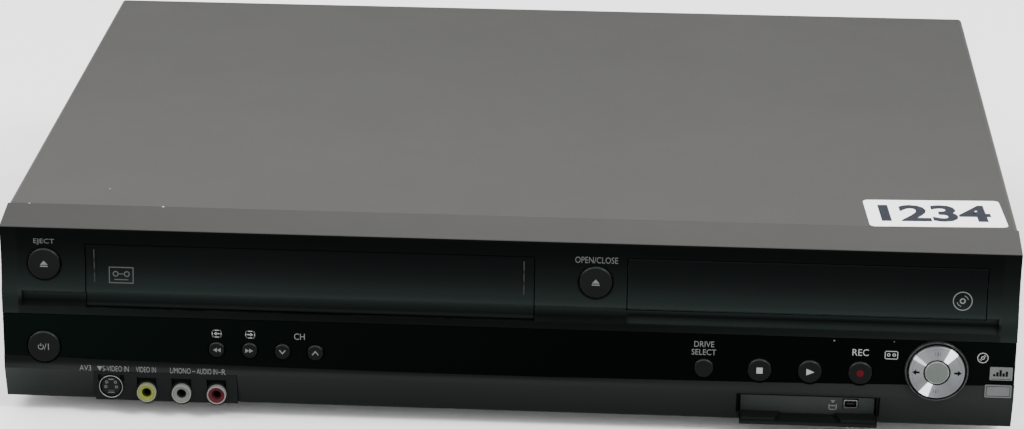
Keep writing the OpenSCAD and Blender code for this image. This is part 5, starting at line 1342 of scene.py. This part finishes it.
# painted shadow along the edges of the recess behind the flap
o = [[(99.95, 9.0), (100.9, 9.0), (100.9, 19.55), (99.95, 19.55)], [(157.5, 9.0), (158.45, 9.0), (158.45, 19.55), (157.5, 19.55)], [(100.9, 18.5), (157.5, 18.5), (157.5, 19.55), (100.9, 19.55)]]
bm = flat_shape(o, 0.05)
bm.transform(Matrix.Translation(V(0, 7.38, 0)) @ FACE_FRONT)
decal(bm, "painted_shade_black", "case", "recess_edge")
o = [[(98.9, 10.4 + 1.6 * k), (99.75, 10.4 + 1.6 * k), (99.75, 12.0 + 1.6 * k), (98.9, 12.0 + 1.6 * k)] for k in range(6)]
o += [[(158.65, 10.4 + 1.6 * k), (159.4, 10.4 + 1.6 * k), (159.4, 12.0 + 1.6 * k), (158.65, 12.0 + 1.6 * k)] for k in range(6)]
o += [[(98.9, 19.7), (159.4, 19.7), (159.4, 20.1), (98.9, 20.1)]]
bm = flat_shape(o, 0.05)
bm.transform(Matrix.Translation(V(0, 0, 0)) @ FACE_FRONT)
lay_on(bm, lambda z: lerp_profile(CHAMFER, z), 0.01)
decal(bm, "painted_shade_black", "case", "recess_edge")

# figures on the paper label
bm = text_bm("1234", width=47.0, height=21.0, bold=0.035, thick=0.03)
bm.transform(Matrix.Translation(V(181.2, 39.6, 89.55)) @ Matrix.Rotation(math.radians(2.9), 4, "Z"))
decal(bm, "print_blue", "case", "label_figures")

o = strip([(-4.9, -2.2), (4.9, -2.2), (4.9, 2.2), (-4.9, 2.2), (-4.9, -2.2)], 0.22)
decal(put(flat_shape(o, 0.03), 208.3, -0.41, 25.0), "print_black", "case", "plate_frame")
o = strip([(-4.0, -2.45), (4.0, -2.45)], 0.2)
decal(put(flat_shape(o, 0.03), 209.15, -0.41, 33.0), "print_black", "case", "plate_frame")

# small chips in the paint along the cover's front edge
for k, (x, yf, z, r) in enumerate(((-205.6, 21.15, 89.36, 0.42), (-147.7, 21.2, 89.38, 0.48), (-174.1, 42.7, 89.42, 0.3))):
    pts = [(r * (1.0 + 0.25 * math.sin(3 * a + k)) * math.cos(a), 0.7 * r * (1.0 + 0.2 * math.cos(2 * a + 2 * k)) * math.sin(a)) for a in [i * math.pi / 7 for i in range(14)]]
    bm = flat_shape([pts], 0.03)
    bm.transform(Matrix.Translation(V(x, yf, z)))
    decal(bm, "paint_chip", "case", "chip")

for x, z, r in ((139.0, 45.6, 0.32), (164.0, 45.9, 0.2)):
    pts = [(r * (1.3 + 0.2 * math.sin(2 * a)) * math.cos(a), r * math.sin(a)) for a in [i * math.pi / 6 for i in range(12)]]
    decal(put(flat_shape([pts], 0.03), x, 0.0, z), "print_grey", "case", "chip")

# steel sheet between the power board and the tape deck, with a foot and three pressed ribs
bm = bmesh.new()
bm_box(bm, (-207, 237.7, 9.3), (-64, 238.4, 83.5))
bm_box(bm, (-205, 238.4, 9.3), (-66, 241.4, 10.0))
for x in (-180, -136, -92):
    bm_box(bm, (x - 2.2, 237.2, 16), (x + 2.2, 237.7, 77))
soften(bm, 0.18, 1)
new_object("shield_plate", bm, "sheet_steel", "case")

# ---------------------------------------------------------------- floor, light and camera

fm = NT("floor")
fm.set(spec=0.2)
fm.b.inputs["Roughness"].default_value = 0.75
fm.link(fm.mix(fm.remap(fm.noise(1.3, 3, 0.5), 0.3, 0.7, 0, 1), (0.90, 0.90, 0.90), (0.92, 0.92, 0.92)), fm.b.inputs["Base Color"])
bm = bmesh.new()
bmesh.ops.create_grid(bm, x_segments=8, y_segments=8, size=6.0)
me = bpy.data.meshes.new("floor")
bm.to_mesh(me)
bm.free()
floor = bpy.data.objects.new("floor", me)
floor.location = (0, 0, -0.0002)
me.materials.append(fm.m)
bpy.context.scene.collection.objects.link(floor)

world = bpy.data.worlds.new("studio")
bpy.context.scene.world = world
world.use_nodes = True
wt = world.node_tree
wt.nodes.clear()
wo = wt.nodes.new("ShaderNodeOutputWorld")
wb = wt.nodes.new("ShaderNodeBackground")
wb.inputs["Color"].default_value = (0.89, 0.89, 0.89, 1)
wb.inputs["Strength"].default_value = 2.5
wt.links.new(wb.outputs[0], wo.inputs[0])


def area(name, loc, target, size, power, color=(1, 1, 1), size_y=None):
    d = bpy.data.lights.new(name, "AREA")
    d.shape = "RECTANGLE"
    d.size = size
    d.size_y = size_y or size
    d.energy = power
    d.color = color
    o = bpy.data.objects.new(name, d)
    bpy.context.scene.collection.objects.link(o)
    o.location = loc
    o.rotation_mode = "QUATERNION"
    o.rotation_quaternion = (Vector(target) - Vector(loc)).to_track_quat("-Z", "Y")
    return o


area("key", (1.35, -1.15, 1.75), (0, 0, 0), 0.7, 52)
area("fill", (-1.5, -0.7, 1.7), (0, 0, 0), 0.8, 30)
area("back", (0.2, 1.9, 1.6), (0, 0.1, 0), 1.6, 8, size_y=0.8)


def camera():
    az, el, roll = (math.radians(a) for a in (4.5717, 19.6698, 0.0558))
    back = Vector((math.sin(az) * math.cos(el), -math.cos(az) * math.cos(el), math.sin(el)))
    fwd = -back
    right = fwd.cross(Vector((0, 0, 1))).normalized()
    up = right.cross(fwd)
    r = math.cos(roll) * right + math.sin(roll) * up
    u = -math.sin(roll) * right + math.cos(roll) * up
    c = Vector((0, -MID, 44.5)) - fwd * 1436.9679 - r * 45.4384 + u * 50.1944
    cam = bpy.data.cameras.new("camera")
    ob = bpy.data.objects.new("camera", cam)
    bpy.context.scene.collection.objects.link(ob)
    m = Matrix((r, u, back)).transposed().to_4x4()
    m.translation = c / 1000
    ob.matrix_world = m
    cam.sensor_width = 36
    cam.sensor_fit = "HORIZONTAL"
    cam.lens = 3392.0593 * 36 / 1024
    cam.shift_x = (512 - 396.7691) / 1024
    cam.shift_y = 0.0
    cam.clip_start, cam.clip_end = 0.05, 50
    cam.dof.use_dof = False
    bpy.context.scene.camera = ob


camera()
